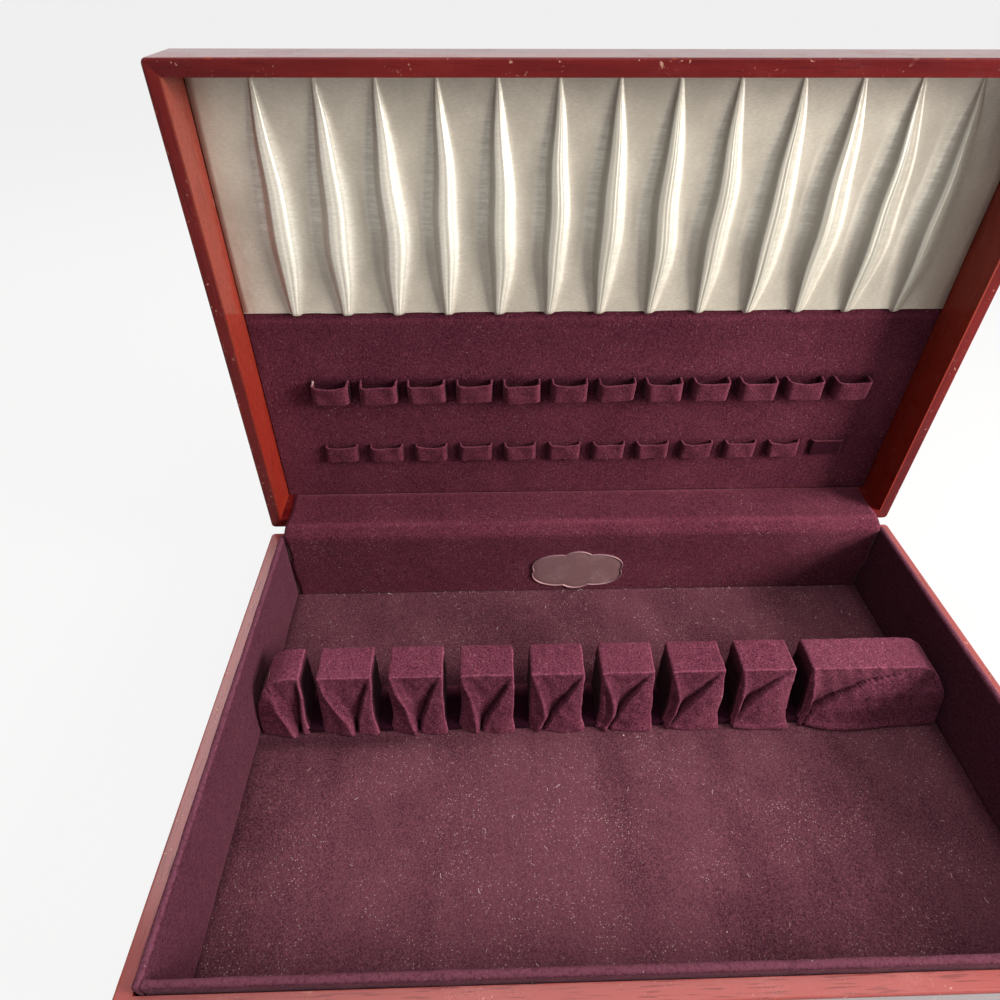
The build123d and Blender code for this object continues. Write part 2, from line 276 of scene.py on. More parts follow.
def make_wear_group():
    """Edge wear on a box: 1 on its long edges, broken up by noise, from a position."""
    inputs = {"Position": "Vector", "Centre": "Vector", "Half Size": "Vector", "Width": "Float"}
    group, given, out = new_group("edge_wear", inputs, {"Edge": "Float", "Nicks": "Float"})
    place = given["Position"]

    def vector_step(operation, *values):
        node = add(group, "ShaderNodeVectorMath", operation=operation)
        for socket, value in zip(node.inputs, values):
            feed(socket, value)
        return Value(node.outputs[0])

    size = vector_step("ABSOLUTE", vector_step("SUBTRACT", place, given["Centre"]))
    x, y, z = split(vector_step("SUBTRACT", given["Half Size"], size))
    # How deep the place lies under the second nearest face: 0 on an edge
    second = higher(lower(x, y), lower(higher(x, y), z))
    patchy = noise(place, 120.0, 5.0, 0.75)
    reach = given["Width"] * span(patchy, 0.45, 0.72, 0.02, 1.0)
    scratches = noise(place, 420.0, 1.0, stretch=(0.5, 1.0, 0.35))
    nick = higher(span(noise(place, 700.0), 0.66, 0.70), span(scratches, 0.72, 0.76))
    nick = nick * span(noise(place, 70.0), 0.50, 0.62) * span(second, 0.0, 7 * MM, 1.0, 0.25)
    feed_all(out, Edge=(1.0 - second / reach).clamped(), Nicks=nick)
    return group


def make_grain_group():
    """Mahogany: long bands, pores and flecks along X, from a position."""
    outputs = {"Bands": "Float", "Pores": "Float", "Height": "Float"}
    group, given, out = new_group("mahogany_grain", {"Position": "Vector"}, outputs)
    place = given["Position"]
    bands = noise(place, 60.0, 4.0, 0.6, stretch=(0.10, 1.0, 1.0))
    pore = span(noise(place, 1400.0, stretch=(0.05, 1.0, 1.0)), 0.56, 0.68)
    height = noise(place, 90.0) * 0.6 - pore * 0.12
    feed_all(out, Bands=span(bands, 0.3, 0.72), Pores=pore, Height=height)
    return group


def make_dust_group():
    """Fine dust and rub marks from a position."""
    inputs = {"Position": "Vector", "Scale": "Float"}
    group, given, out = new_group("dust", inputs, {"Dust": "Float"})
    cloud = noise(given["Position"], given["Scale"], 5.0, 0.7)
    grit = noise(given["Position"], 2200.0, 1.0)
    feed_all(out, Dust=span(cloud, 0.45, 0.8) * span(grit, 0.35, 0.7))
    return group


nap_group = make_nap_group()
wear_group = make_wear_group()
grain_group = make_grain_group()
dust_group = make_dust_group()


def dust_on(place, scale):
    """How dusty or rubbed each place is; a larger scale has smaller patches."""
    return use_group(dust_group, place, Scale=scale)["Dust"]


# ---------------------------------------------------------------- materials

lint_colour = (0.74, 0.58, 0.55)
# Painted sheen on felt seen at a glance, and painted shade for its creases, slots and hollows
painted_sheen_colour = (0.30, 0.12, 0.16)
painted_shade_colour = (0.0075, 0.0011, 0.0048)
felt_bump = 0.35 * MM


def felt_material(name, shade, nap, streaks, patches, dust, lint, turn, sheen=0.13):
    """Dark maroon wool felt, with a painted sheen where it is seen at a glance, and painted
    highlight and shade from its marks.
    """
    material, shader, place = new_material(
        name, Roughness=0.92, Specular_IOR_Level=0.0, Sheen_Weight=sheen, Sheen_Roughness=0.38,
        Sheen_Tint=(0.85, 0.42, 0.52),
    )
    felt = use_group(
        nap_group, mapped(place, Rotation=turn), Streaks=streaks, Patches=patches, Specks=dust,
        Lint=lint, Shade=shade, Nap=nap, Lint_Colour=lint_colour,
        Fibre_Colour=tuple(1.9 * value for value in nap),
    )
    # Painted sheen: paler where the felt is seen at a glance
    painted_sheen = facing(place.tree, 0.35) ** 4.0 * 0.25
    colour = mix(painted_sheen, felt["Colour"], painted_sheen_colour)
    # The points' marks: painted highlight above 0, painted shade below 0, lint colour where worn
    # bare
    marked = attribute(place.tree, "painted_light_and_wear")
    broken = span(noise(place, 800.0), 0.35, 0.62, 0.3, 1.0)
    pale = (marked * broken).clamped() * 0.42
    colour = mix(pale, colour, tuple(2.1 * value for value in nap))
    colour = mix((marked * -1.0).clamped(), colour, painted_shade_colour)
    colour = mix(span(marked, 1.6, 2.6), colour, lint_colour)
    feed(shader.inputs["Base Color"], colour)
    bump(shader, felt["Height"], 0.6, felt_bump)
    return material


dark_mahogany, light_mahogany = (0.086, 0.0046, 0.0064), (0.165, 0.0125, 0.0110)
# Painted highlight on the base's rim; painted light on the lid rails' inner faces, with a painted
# reflection of the satin higher up
painted_rim_highlight = (0.62, 0.165, 0.150)
painted_lit_rail_colour, painted_satin_reflection_colour = (0.38, 0.034, 0.014), (0.36, 0.090, 0.060)
pore_colour, edge_colour = (0.05, 0.004, 0.005), (0.36, 0.075, 0.035)
nick_colour, wood_dust_colour = (0.50, 0.27, 0.20), (0.58, 0.30, 0.31)


def mahogany_material(name, turn, box, offset, gloss, glance, dustiness, inner=None):
    """Red mahogany stain under lacquer, glossiest at a glance, worn along the box's edges.

    The base has a painted highlight on its rim; a lid rail with an inner face at x = inner has
    painted light there, with a painted reflection of the satin higher up.
    """
    material, shader, place = new_material(
        name, Roughness=0.3, Coat_Roughness=0.16, Coat_IOR=1.5, Specular_IOR_Level=0.05,
    )
    low, high = box
    grain = use_group(grain_group, mapped(place, Rotation=turn, Location=offset))
    wear = use_group(wear_group, place, Centre=(low + high) / 2, Half_Size=(high - low) / 2,
                     Width=1.1 * MM)
    edge = wear["Edge"]
    dust = dust_on(place, 45.0)
    colour = mix(grain["Bands"], dark_mahogany, light_mahogany)
    x, _, z = split(place)
    # Painted light on a lid rail's inner face, with a painted reflection of the satin higher up; on
    # the base, a painted highlight on the rim
    if inner is not None:
        inside = span(abs(x), inner + 0.4 * MM, inner - 0.2 * MM)
        higher = span(z, lid_low.z + 60 * MM, lid_high.z)
        colour = mix(inside * 0.50, colour, mix(higher, painted_lit_rail_colour, painted_satin_reflection_colour))
    else:
        rim = span(z, rim_z - 1.2 * MM, rim_z - 0.2 * MM, 0.0, 0.34)
        below = span(z, rim_z + 1 * MM, rim_z + 1.5 * MM, 1.0, 0.0)
        colour = mix(rim * below, colour, painted_rim_highlight)
    colour = mix(grain["Pores"] * 0.45, colour, pore_colour)
    colour = mix(edge * 0.75, colour, edge_colour)
    colour = mix(wear["Nicks"], colour, nick_colour)
    colour = mix(dust * dustiness, colour, wood_dust_colour)
    coat = span(facing(place.tree, 0.5), 0.45, 0.72, gloss, glance) * (1.0 - edge)
    feed_all(shader, Base_Color=colour, Roughness=0.26 + dust * 0.35 + edge * 0.3, Coat_Weight=coat)
    bump(shader, grain["Height"], 0.25, 0.3 * MM)
    return material


def plain_wood_material(name, dark, light, rough):
    """Bare or thinly stained softwood board."""
    material, shader, place = new_material(name, Roughness=rough)
    grain = use_group(grain_group, place)
    colour = mix(grain["Pores"] * 0.4, mix(grain["Bands"], dark, light), dark)
    feed(shader.inputs["Base Color"], colour)
    bump(shader, grain["Height"], 0.4, 0.3 * MM)
    return material


def card_material():
    """Grey-brown pulp board."""
    material, shader, place = new_material("pulp_card", Roughness=0.9)
    dust = dust_on(place, 300.0)
    feed(shader.inputs["Base Color"], mix(dust, (0.30, 0.26, 0.20), (0.46, 0.41, 0.33)))
    bump(shader, dust, 0.4, 0.2 * MM)
    return material


def brass_material():
    """Dull brass plate with tarnish."""
    material, shader, place = new_material("dull_brass", Metallic=1.0, Roughness=0.35)
    dust = dust_on(place, 220.0)
    colour = mix(dust, (0.56, 0.40, 0.17), (0.20, 0.13, 0.06))
    feed_all(shader, Base_Color=colour, Roughness=span(dust, 0.0, 1.0, 0.3, 0.6))
    bump(shader, dust, 0.3, 0.05 * MM)
    return material


def pewter_material():
    """Stamped sheet, tarnished to a brownish pink grey, with a grainy field."""
    material, shader, place = new_material(
        "tarnished_pewter", Metallic=0.3, Specular_IOR_Level=0.3,
    )
    dust = dust_on(place, 75.0)
    grain = noise(place, 900.0, 3.0, 0.7)
    colour = mix(dust, (0.28, 0.15, 0.165), (0.50, 0.34, 0.355))
    colour = mix(span(grain, 0.35, 0.65, 0.0, 0.4), colour, (0.20, 0.11, 0.12))
    feed_all(shader, Base_Color=colour, Roughness=span(dust, 0.0, 1.0, 0.52, 0.66))
    bump(shader, grain, 0.6, 0.14 * MM)
    return material


def satin_material():
    """Ivory satin, mottled: painted light on its folds at the left and painted shade on them to the
    right, painted light bands beside them, and a weft texture across.
    """
    material, shader, place = new_material(
        "ivory_satin", Metallic=0.12, Roughness=0.34, Specular_IOR_Level=0.5,
        Anisotropic=0.9, Anisotropic_Rotation=0.25,
    )
    weft = noise(place, 1500.0, stretch=(0.30, 0.30, 1.0))
    mottle = noise(place, 30.0, 5.0, 0.65)
    crinkle = noise(place, 260.0, 3.0, 0.6)
    patches = noise(place, 24.0)
    x, y, z = split(place)
    low_down = span(z, satin_low.z, satin_high.z - 20 * MM, 1.0, 0.0)
    crinkled = low_down * span(patches, 0.40, 0.62)
    # The flats keep their mottled tone; the raised folds carry painted light on the left and
    # painted shade to the right
    raised = span(y, satin_face, satin_face - 2.6 * MM)
    worn = mix(span(mottle, 0.35, 0.65), (0.475, 0.435, 0.362), (0.58, 0.533, 0.450))
    painted_light_on_left = span(x, -120 * MM, 20 * MM, 1.0, 0.0)
    crest = mix(painted_light_on_left, (0.36, 0.345, 0.295), (0.61, 0.585, 0.52))
    # Painted light bands beside the pleats, broken into threads
    threads = noise(place, 420.0, stretch=(0.12, 0.12, 1.6))
    painted_light_threads = attribute(place.tree, "painted_light_band") * span(threads, 0.36, 0.60, 0.45, 1.0)
    colour = mix(painted_light_threads, mix(raised, worn, crest), (0.86, 0.84, 0.74))
    colour = mix(span(weft, 0.35, 0.65, 0.0, 0.22), colour, (0.30, 0.26, 0.21))
    tangent = add(place.tree, "ShaderNodeTangent", direction_type="UV_MAP", uv_map="cloth")
    feed_all(shader, Base_Color=colour, Tangent=Value(tangent.outputs[0]))
    bump(shader, weft * 0.7 + crinkle * (crinkled * 4.5), 0.8, 0.07 * MM)
    return material


def lint_material():
    """Pale stray fibres."""
    material, shader, place = new_material("lint", Roughness=0.8, Sheen_Weight=0.3)
    tone = span(noise(place, 300.0, 1.0), 0.35, 0.65)
    feed(shader.inputs["Base Color"], mix(tone, (0.86, 0.74, 0.70), (0.60, 0.40, 0.38)))
    return material


along_x = (0, 0, 0)
along_y = (0, 0, pi / 2)
along_z = (0, pi / 2, 0)

# The felt's tones differ by place as painted light and shade: lightest on the rack, darkest on the
# liners
floor_tones = (0.022, 0.0056, 0.0110), (0.132, 0.045, 0.063)
liner_tones = (0.044, 0.0092, 0.0190), (0.092, 0.030, 0.047)
lid_tones = (0.036, 0.0060, 0.0140), (0.140, 0.034, 0.056)
rack_tones = (0.052, 0.0088, 0.0195), (0.196, 0.054, 0.090)
# After the shade and nap: streaks, worn patches, dust, lint
floor_felt = felt_material("floor_felt", *floor_tones, 0.32, 0.27, 0.60, 0.009, along_y)
liner_felt = felt_material("liner_felt", *liner_tones, 0.0, 0.10, 0.10, 0.003, along_x)
lining_felt = felt_material("lining_felt", *lid_tones, 0.14, 0.14, 0.06, 0.001, along_y)
loop_felt = felt_material("loop_felt", *lid_tones, 0.08, 0.16, 0.05, 0.001, along_x)
rack_felt = felt_material("rack_felt", *rack_tones, 0.05, 0.16, 0.14, 0.002, along_x, sheen=0.07)
cover_felt = felt_material("cover_felt", *lid_tones, 0.10, 0.16, 0.20, 0.004, along_y)
satin = satin_material()
pewter = pewter_material()
brass = brass_material()
card = card_material()
lint = lint_material()
rack_wood = plain_wood_material("rack_wood", (0.34, 0.22, 0.12), (0.58, 0.44, 0.28), 0.7)
stained_board = plain_wood_material(
    "stained_board", (0.07, 0.018, 0.013), (0.15, 0.04, 0.026), 0.55,
)


def dress(node, material):
    """Give a CAD node its material."""
    slots = nodes[node].data.materials
    slots.clear()
    slots.append(material)


def dress_wood():
    """Stained mahogany for the walls, rails and lid, each with its own stretch of grain."""
    turns = {
        "base_front_wall": along_x,
        "base_rear_wall": along_x,
        "base_left_wall": along_y,
        "base_right_wall": along_y,
        "lid_front_rail": along_x,
        "lid_rear_rail": along_x,
        "lid_left_rail": along_z,
        "lid_right_rail": along_z,
        "lid_panel": along_x,
    }
    for i, (node, turn) in enumerate(turns.items()):
        shift = (0.13 * i, 0.031 * i, 0.017 * i)
        inner = lid_high.x - wall if node in ("lid_left_rail", "lid_right_rail") else None
        if node.startswith("lid"):
            box, gloss, glance, dustiness = (lid_low, lid_high), 0.15, 0.4, 0.05
        else:
            box, gloss, glance, dustiness = (base_low, base_high), 0.6, 1.0, 0.22
        dress(node, mahogany_material("mahogany_" + node, turn, box, shift, gloss, glance,
                                      dustiness, inner))


def dress_the_rest():
    """Stained board, bare wood, card and brass for the other nodes."""
    dress("bottom_board", stained_board)
    for node in ["rack_base"] + ["rack_block_%d" % i for i in range(1, 10)]:
        dress(node, rack_wood)
    for node in ("satin_card", "liner_rear"):
        dress(node, card)
    for node in ("hinge_left_base_leaf", "hinge_left_lid_leaf", "hinge_right_base_leaf",
                 "hinge_right_lid_leaf", "hinge_pins", "base_hinge_screws", "lid_hinge_screws"):
        dress(node, brass)


dress_wood()
dress_the_rest()


# ---------------------------------------------------------------- mesh helpers


def new_object(name, data):
    """An object in the scene."""
    thing = bpy.data.objects.new(name, data)
    bpy.context.scene.collection.objects.link(thing)
    return thing


def make_piece(name, points, faces, material, body=None, stands_for=()):
    """A smooth mesh piece from points and faces, riding on a body."""
    mesh = bpy.data.meshes.new(name)
    mesh.from_pydata([tuple(p) for p in points], [], faces)
    mesh.update()
    mesh.polygons.foreach_set("use_smooth", [True] * len(mesh.polygons))
    mesh.materials.append(material)
    piece = new_object(name, mesh)
    if body:
        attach(piece, body)
    if stands_for:
        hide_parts(*stands_for)
    return piece


def finish_modifiers(piece):
    """Apply the piece's modifiers to its mesh."""
    bpy.context.view_layer.update()
    evaluated = piece.evaluated_get(bpy.context.evaluated_depsgraph_get())
    mesh = bpy.data.meshes.new_from_object(evaluated)
    piece.modifiers.clear()
    old = piece.data
    mesh.name = old.name
    piece.data = mesh
    bpy.data.meshes.remove(old)
    piece.data.name = piece.name


def merge_close(piece):
    """Close seams and drop faces that have shrunk to nothing."""
    distance = 0.002 * MM
    work = bmesh.new()
    work.from_mesh(piece.data)
    bmesh.ops.remove_doubles(work, verts=work.verts, dist=distance)
    bmesh.ops.dissolve_degenerate(work, edges=work.edges, dist=distance)
    work.to_mesh(piece.data)
    work.free()


def thicken(piece, thickness, offset=-1.0, even=True):
    """Give a sheet its thickness; even keeps it at tight folds."""
    solidify = piece.modifiers.new("thickness", "SOLIDIFY")
    solidify.thickness = thickness
    solidify.offset = offset
    solidify.use_even_offset = even
    finish_modifiers(piece)


def mark(piece, values, name="painted_light_and_wear"):
    """Store a number on each point. Marks: painted highlight (1), worn bare (3), painted shade
    (-1).
    """
    layer = piece.data.attributes.new(name, "FLOAT", "POINT")
    layer.data.foreach_set("value", np.asarray(values, dtype=np.float32))


def on_edges(normals):
    """1 on the roundings of a box and 0 on its faces."""
    return np.clip((1 - np.abs(normals).max(axis=1)) / 0.25, 0, 1)


def bell(value):
    """1 at 0, falling away smoothly on both sides."""
    return np.exp(-(value ** 2))


def places(*parts):
    """Coordinates, each an array or one number, set side by side in rows."""
    return np.stack(np.broadcast_arrays(*parts), axis=-1)


def grid_faces(rows, columns, flip=False):
    """Quads over a grid of points stored row by row."""
    faces = []
    for r in range(rows - 1):
        for c in range(columns - 1):
            a = r * columns + c
            quad = (a, a + 1, a + columns + 1, a + columns)
            faces.append(quad[::-1] if flip else quad)
    return faces


def ripples(seed, wavelength):
    """A smooth random field in space, about -1 to 1: a sum of sine waves."""
    count = 7
    random = np.random.default_rng(seed)
    directions = random.normal(size=(count, 3))
    directions /= np.linalg.norm(directions, axis=1)[:, None]
    lengths = wavelength * random.uniform(0.6, 1.7, count)
    phases = random.uniform(0, 2 * pi, count)

    def field(points):
        turns = points @ (directions / lengths[:, None]).T * 2 * pi + phases
        return np.sin(turns).sum(axis=1) * (2.0 / count) ** 0.5 * 0.7

    return field


def smooth_step(value, low, high):
    """From 0 at low to 1 at high; low may be the larger one."""
    t = np.clip((value - low) / (high - low), 0.0, 1.0)
    return t * t * (3 - 2 * t)


def lattice_line(low, high, radius, cell):
    """Places along one side of a box: even turns in the two roundings, cells between."""
    turns = np.linspace(pi / 4, 0, 4)
    near = low + radius * (1 - np.tan(turns))
    cells = max(2, int(round((high - low - 2 * radius) / cell)))
    middle = np.linspace(low + radius, high - radius, cells + 1)[1:-1]
    far = high - radius * (1 - np.tan(turns[::-1]))
    return np.concatenate([near, middle, far])


def rounded_box(low, high, radius, cells):
    """A box with rounded edges: its lattice places, points, outward normals and quads."""
    lines = [lattice_line(low[a], high[a], radius, cells[a]) for a in range(3)]
    counts = [len(line) for line in lines]
    index, lattice, faces = {}, [], []

    def vertex(key):
        if key not in index:
            index[key] = len(lattice)
            lattice.append([lines[a][key[a]] for a in range(3)])
        return index[key]

    for axis in range(3):
        a, b = (axis + 1) % 3, (axis + 2) % 3
        for end in (0, counts[axis] - 1):
            for i in range(counts[a] - 1):
                for j in range(counts[b] - 1):
                    quad = []
                    for di, dj in ((0, 0), (1, 0), (1, 1), (0, 1)):
                        key = [0, 0, 0]
                        key[axis], key[a], key[b] = end, i + di, j + dj
                        quad.append(vertex(tuple(key)))
                    faces.append(tuple(quad if end else quad[::-1]))
    lattice = np.array(lattice)
    core = np.clip(lattice, np.array(low) + radius, np.array(high) - radius)
    normals = lattice - core
    normals /= np.linalg.norm(normals, axis=1)[:, None]
    return lattice, core + normals * radius, normals, faces


def joined(parts):
    """Several (points, faces, fuzz) as one."""
    points, some_faces, painted_light_and_wear = zip(*parts)
    faces, start = [], 0
    for own_points, own_faces in zip(points, some_faces):
        faces += [tuple(i + start for i in face) for face in own_faces]
        start += len(own_points)
    return np.concatenate(points), faces, np.concatenate(painted_light_and_wear)


# ---------------------------------------------------------------- felt boards


def felt_board(name, stands_for, material, seed, radius, cells, lump, lap=0.0):
    """A felt-covered board on the base in a CAD node's place, with softly uneven faces."""
    low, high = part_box(stands_for)
    low, high = low - Vector((lap, 0, 0)), high + Vector((lap, 0, 0))
    lattice, points, normals, faces = rounded_box(low, high, radius, cells)
    swell = ripples(seed, 55 * MM)(lattice) * 0.6 + ripples(seed + 1, 13 * MM)(lattice) * 0.4
    from_edge = np.minimum(lattice - np.array(low), np.array(high) - lattice)
    inside = np.minimum(1, from_edge.max(axis=1) / (4 * MM))
    points = points - normals * ((0.5 - 0.5 * swell) * lump * inside)[:, None]
    piece = make_piece(name, points, faces, material, "base", [stands_for])
    return piece, low, high, lattice, normals


def make_floor():
    """The floor, with painted shade along its front and sides, before the left blocks and behind
    the rack.
    """
    piece, low, high, lattice, normals = felt_board(
        "floor_felt", "floor_pad", floor_felt, seed=11, radius=0.9 * MM,
        cells=(2.5 * MM, 2.5 * MM, 2 * MM), lump=0.35 * MM,
    )
    x, y, _ = lattice.T
    behind_rack = (y - rack_high.y) / (16 * MM)
    # Painted shade along the walls, before the left blocks and behind the rack; a painted highlight
    # on the board's rounded edges
    shades = [
        0.5 * smooth_step(x, low.x + 9 * MM, low.x + 2 * MM),
        0.5 * bell((y - rack_low.y) / (5 * MM)) * smooth_step(x, -50 * MM, -130 * MM),
        0.24 * smooth_step(y, low.y + 75 * MM, low.y + 5 * MM),
        0.4 * smooth_step(behind_rack, 1.0, 0.3) * smooth_step(behind_rack, -1.2, -1.0),
        0.5 * smooth_step(x, high.x - 16 * MM, high.x - 2 * MM),
    ]
    mark(piece, 0.7 * on_edges(normals) - np.max(shades, axis=0))


def make_liners():
    """The liners beside and in front, with a painted highlight along their upper edges."""
    for side, seed, lap in (("left", 21, 0.0), ("right", 24, 0.0), ("front", 27, 1.2 * MM)):
        piece, _, _, _, normals = felt_board(
            "liner_%s_felt" % side, "liner_" + side, liner_felt, seed, radius=1.7 * MM,
            cells=(3 * MM,) * 3, lump=0.45 * MM, lap=lap,
        )
        # Painted highlight on the rounded edges and on the tops
        on_top = smooth_step(normals[:, 2], 0.2, 0.8)
        mark(piece, np.maximum(0.7 * on_edges(normals), 1.64 * on_top))


make_floor()
make_liners()

# ---------------------------------------------------------------- satin lining

pleat_count = 13
pleat_pitch = 27.4 * MM
pleat_belly = 6.6 * MM
pleat_tip = 2.5 * MM
pleat_top = 0.5 * MM
pleat_overhang = 1.5 * MM
belly_at = 0.36  # share of a pleat's length from its tip to its belly
satin_cloth = 0.3 * MM
end_round = 2.2 * MM  # rounding of a pleat's hanging tip
crease_at = -1.75  # a pleat's left and right feet, in its own radii from its middle
foot_at = 1.85


def pleat_radius(t):
    """Size of a pleat across: t is 0 at its tip and 1 at the top rail."""
    swell = np.sin(np.clip(t / belly_at, 0, 1) * pi / 2) ** 1.1
    rise = pleat_tip + (pleat_belly - pleat_tip) * swell
    fall = np.clip((t - belly_at) / (1 - belly_at), 0, 1)
    drop = pleat_top + (pleat_belly - pleat_top) * (1 - fall ** 1.9)
    return np.where(t < belly_at, rise, drop)


def pleat_profile(s, groove, groove_at):
    """A pleat's height across: low shoulder, steep left flank, creased crest and long fall."""
    shoulder = 0.04 * smooth_step(s, crease_at, -0.8)
    rise = shoulder + 0.96 * smooth_step(s, -1.0, -0.30)
    fall = np.exp(-((np.maximum(s - 0.15, 0) / 0.92) ** 1.8))
    fall = fall - 0.012 * smooth_step(s, 0.05, foot_at)
    creases = groove * (bell((s - groove_at) / 0.16) + 0.9 * bell((s - groove_at - 0.50) / 0.12))
    return rise * fall * (1 - creases)


def satin_columns(rows, t, left, right):
    """The cloth's columns, left to right: x, height and painted light down the rows, and how
    raised.
    """
    random = np.random.default_rng(5)
    kinks = ripples(8, 42 * MM)
    centres = (np.arange(pleat_count) - (pleat_count - 1) / 2) * pleat_pitch
    lean = random.uniform(-0.7, 0.7, pleat_count) * MM
    bow = random.uniform(-0.5, 0.9, pleat_count) * MM
    fat = random.uniform(0.92, 1.05, pleat_count)
    groove_at = random.uniform(0.16, 0.38, pleat_count)
    across = np.concatenate([
        np.linspace(crease_at, -1.0, 5)[:-1], np.linspace(-1.0, -0.3, 8)[:-1],
        np.linspace(-0.3, 1.1, 22)[:-1], np.linspace(1.1, foot_at, 6),
    ])
    none = 0 * rows
    closing = np.sqrt(np.clip(1 - (1 - np.clip((rows - rows[0]) / end_round, 0, 1)) ** 2, 0, 1))
    groove = 0.075 + 0.05 * smooth_step(t, 0.45, 0.05)
    # Painted light: a band left of each pleat, and one along its right flank
    painted_light_left_band = 0.72 * smooth_step(t, 0.28, 0.45) * smooth_step(t, 0.98, 0.80)
    painted_light_right_band = 0.30 * smooth_step(t, 0.02, 0.2)
    columns = []

    def flat_part(start, stop, steps, skip):
        """Flat cloth between two pleats."""
        for step in np.linspace(0, 1, steps + 1)[skip:-1]:
            columns.append((start + (stop - start) * step, none, none, 0.0))

    start = left + none
    for i, x in enumerate(centres):
        wander = kinks(places(x, 0, rows)) * MM
        middle = x + lean[i] * (t - 0.3) + (bow[i] + wander) * np.sin(pi * t)
        radius = pleat_radius(t) * fat[i] * (0.62 + 0.38 * closing)
        height = 0.82 * radius * (0.35 + 0.65 * closing)
        flat_part(start, middle + crease_at * radius, 4 if i else 7, 1 if i else 0)
        for s in across:
            rise = pleat_profile(s, groove, groove_at[i])
            painted_light_band = painted_light_left_band * bell((s + 1.3) / 0.5) + painted_light_right_band * bell((s - 1.0) / 0.35)
            columns.append((middle + radius * s, height * rise, painted_light_band, float(rise.max())))
        start = middle + foot_at * radius
    flat_part(start, right + none, 4, 1)
    columns.append((right + none, none, none, 0.0))
    return columns


def make_satin():
    """Ivory satin gathered in pleats: pointed at the top, folded where they hang over."""
    low, high = satin_low.z, satin_high.z
    hang = low - pleat_overhang
    rows = np.concatenate([
        hang + end_round * (1 - np.cos(np.linspace(0, pi / 2, 6))),
        np.linspace(hang + end_round, high, 64)[1:],
    ])
    t = (rows - hang) / (high - hang)
    columns = satin_columns(rows, t, satin_low.x, satin_high.x)
    drag = ripples(9, 16 * MM)
    points = []
    for x, height, _, raised in columns:
        z = np.maximum(rows, low - pleat_overhang * min(1.0, raised / 0.2))
        puff = 0.22 * MM * drag(places(x, 0, z * 0.45)) * np.sin(pi * t)
        y = satin_face - height + np.clip(puff, -0.3 * MM, 0.3 * MM)
        points.append(places(x, y, z))
    points = np.stack(points, axis=1).reshape(-1, 3)
    piece = make_piece("satin_lining_cloth", points, grid_faces(len(rows), len(columns)), satin,
                       "lid", ["satin_lining"])
    # The painted light bands beside the pleats, for the material
    mark(piece, np.stack([painted_light_band for _, _, painted_light_band, _ in columns], axis=1).ravel(), "painted_light_band")
    lay_cloth_map(piece, len(rows), len(columns), points)
    merge_close(piece)
    thicken(piece, satin_cloth, even=False)
    return piece


def lay_cloth_map(piece, rows, columns, points):
    """A UV map that follows the cloth, in units of 100 mm."""
    map_unit = 100 * MM
    across = points.reshape(rows, columns, 3)
    steps = np.linalg.norm(np.diff(across, axis=1), axis=2)
    u = np.concatenate([np.zeros((rows, 1)), np.cumsum(steps, axis=1)], axis=1)
    rises = np.linalg.norm(np.diff(across, axis=0), axis=2)
    v = np.concatenate([np.zeros((1, columns)), np.cumsum(rises, axis=0)], axis=0)
    flat = places(u.ravel(), v.ravel()) / map_unit
    layer = piece.data.uv_layers.new(name="cloth")
    corners = np.zeros(len(piece.data.loops), dtype=np.int32)
    piece.data.loops.foreach_get("vertex_index", corners)
    layer.data.foreach_set("uv", flat[corners].ravel())


satin_piece = make_satin()

# ---------------------------------------------------------------- hinge cover

cover_cloth = 1.0 * MM
cover_columns = 150
corner_cuts = 4  # each makes every corner of the cloth's path into two softer ones


def rounded_path(corners):
    """A path of (y, z) corners with its corners cut round."""
    path = np.array(corners)
    for _ in range(corner_cuts):
        ahead = path[:-1] * 0.75 + path[1:] * 0.25
        behind = path[:-1] * 0.25 + path[1:] * 0.75
        middle = np.stack([ahead, behind], axis=1).reshape(-1, 2)
        path = np.concatenate([path[:1], middle[1:-1], path[-1:]])
    return path


def spaced(path, step):
    """The same path with even steps, and its length."""
    reach = np.concatenate([[0], np.cumsum(np.linalg.norm(np.diff(path, axis=0), axis=1))])
    count = int(reach[-1] / step) + 1
    at = np.linspace(0, reach[-1], count)
    return np.stack([np.interp(at, reach, path[:, i]) for i in (0, 1)], axis=1), reach[-1]


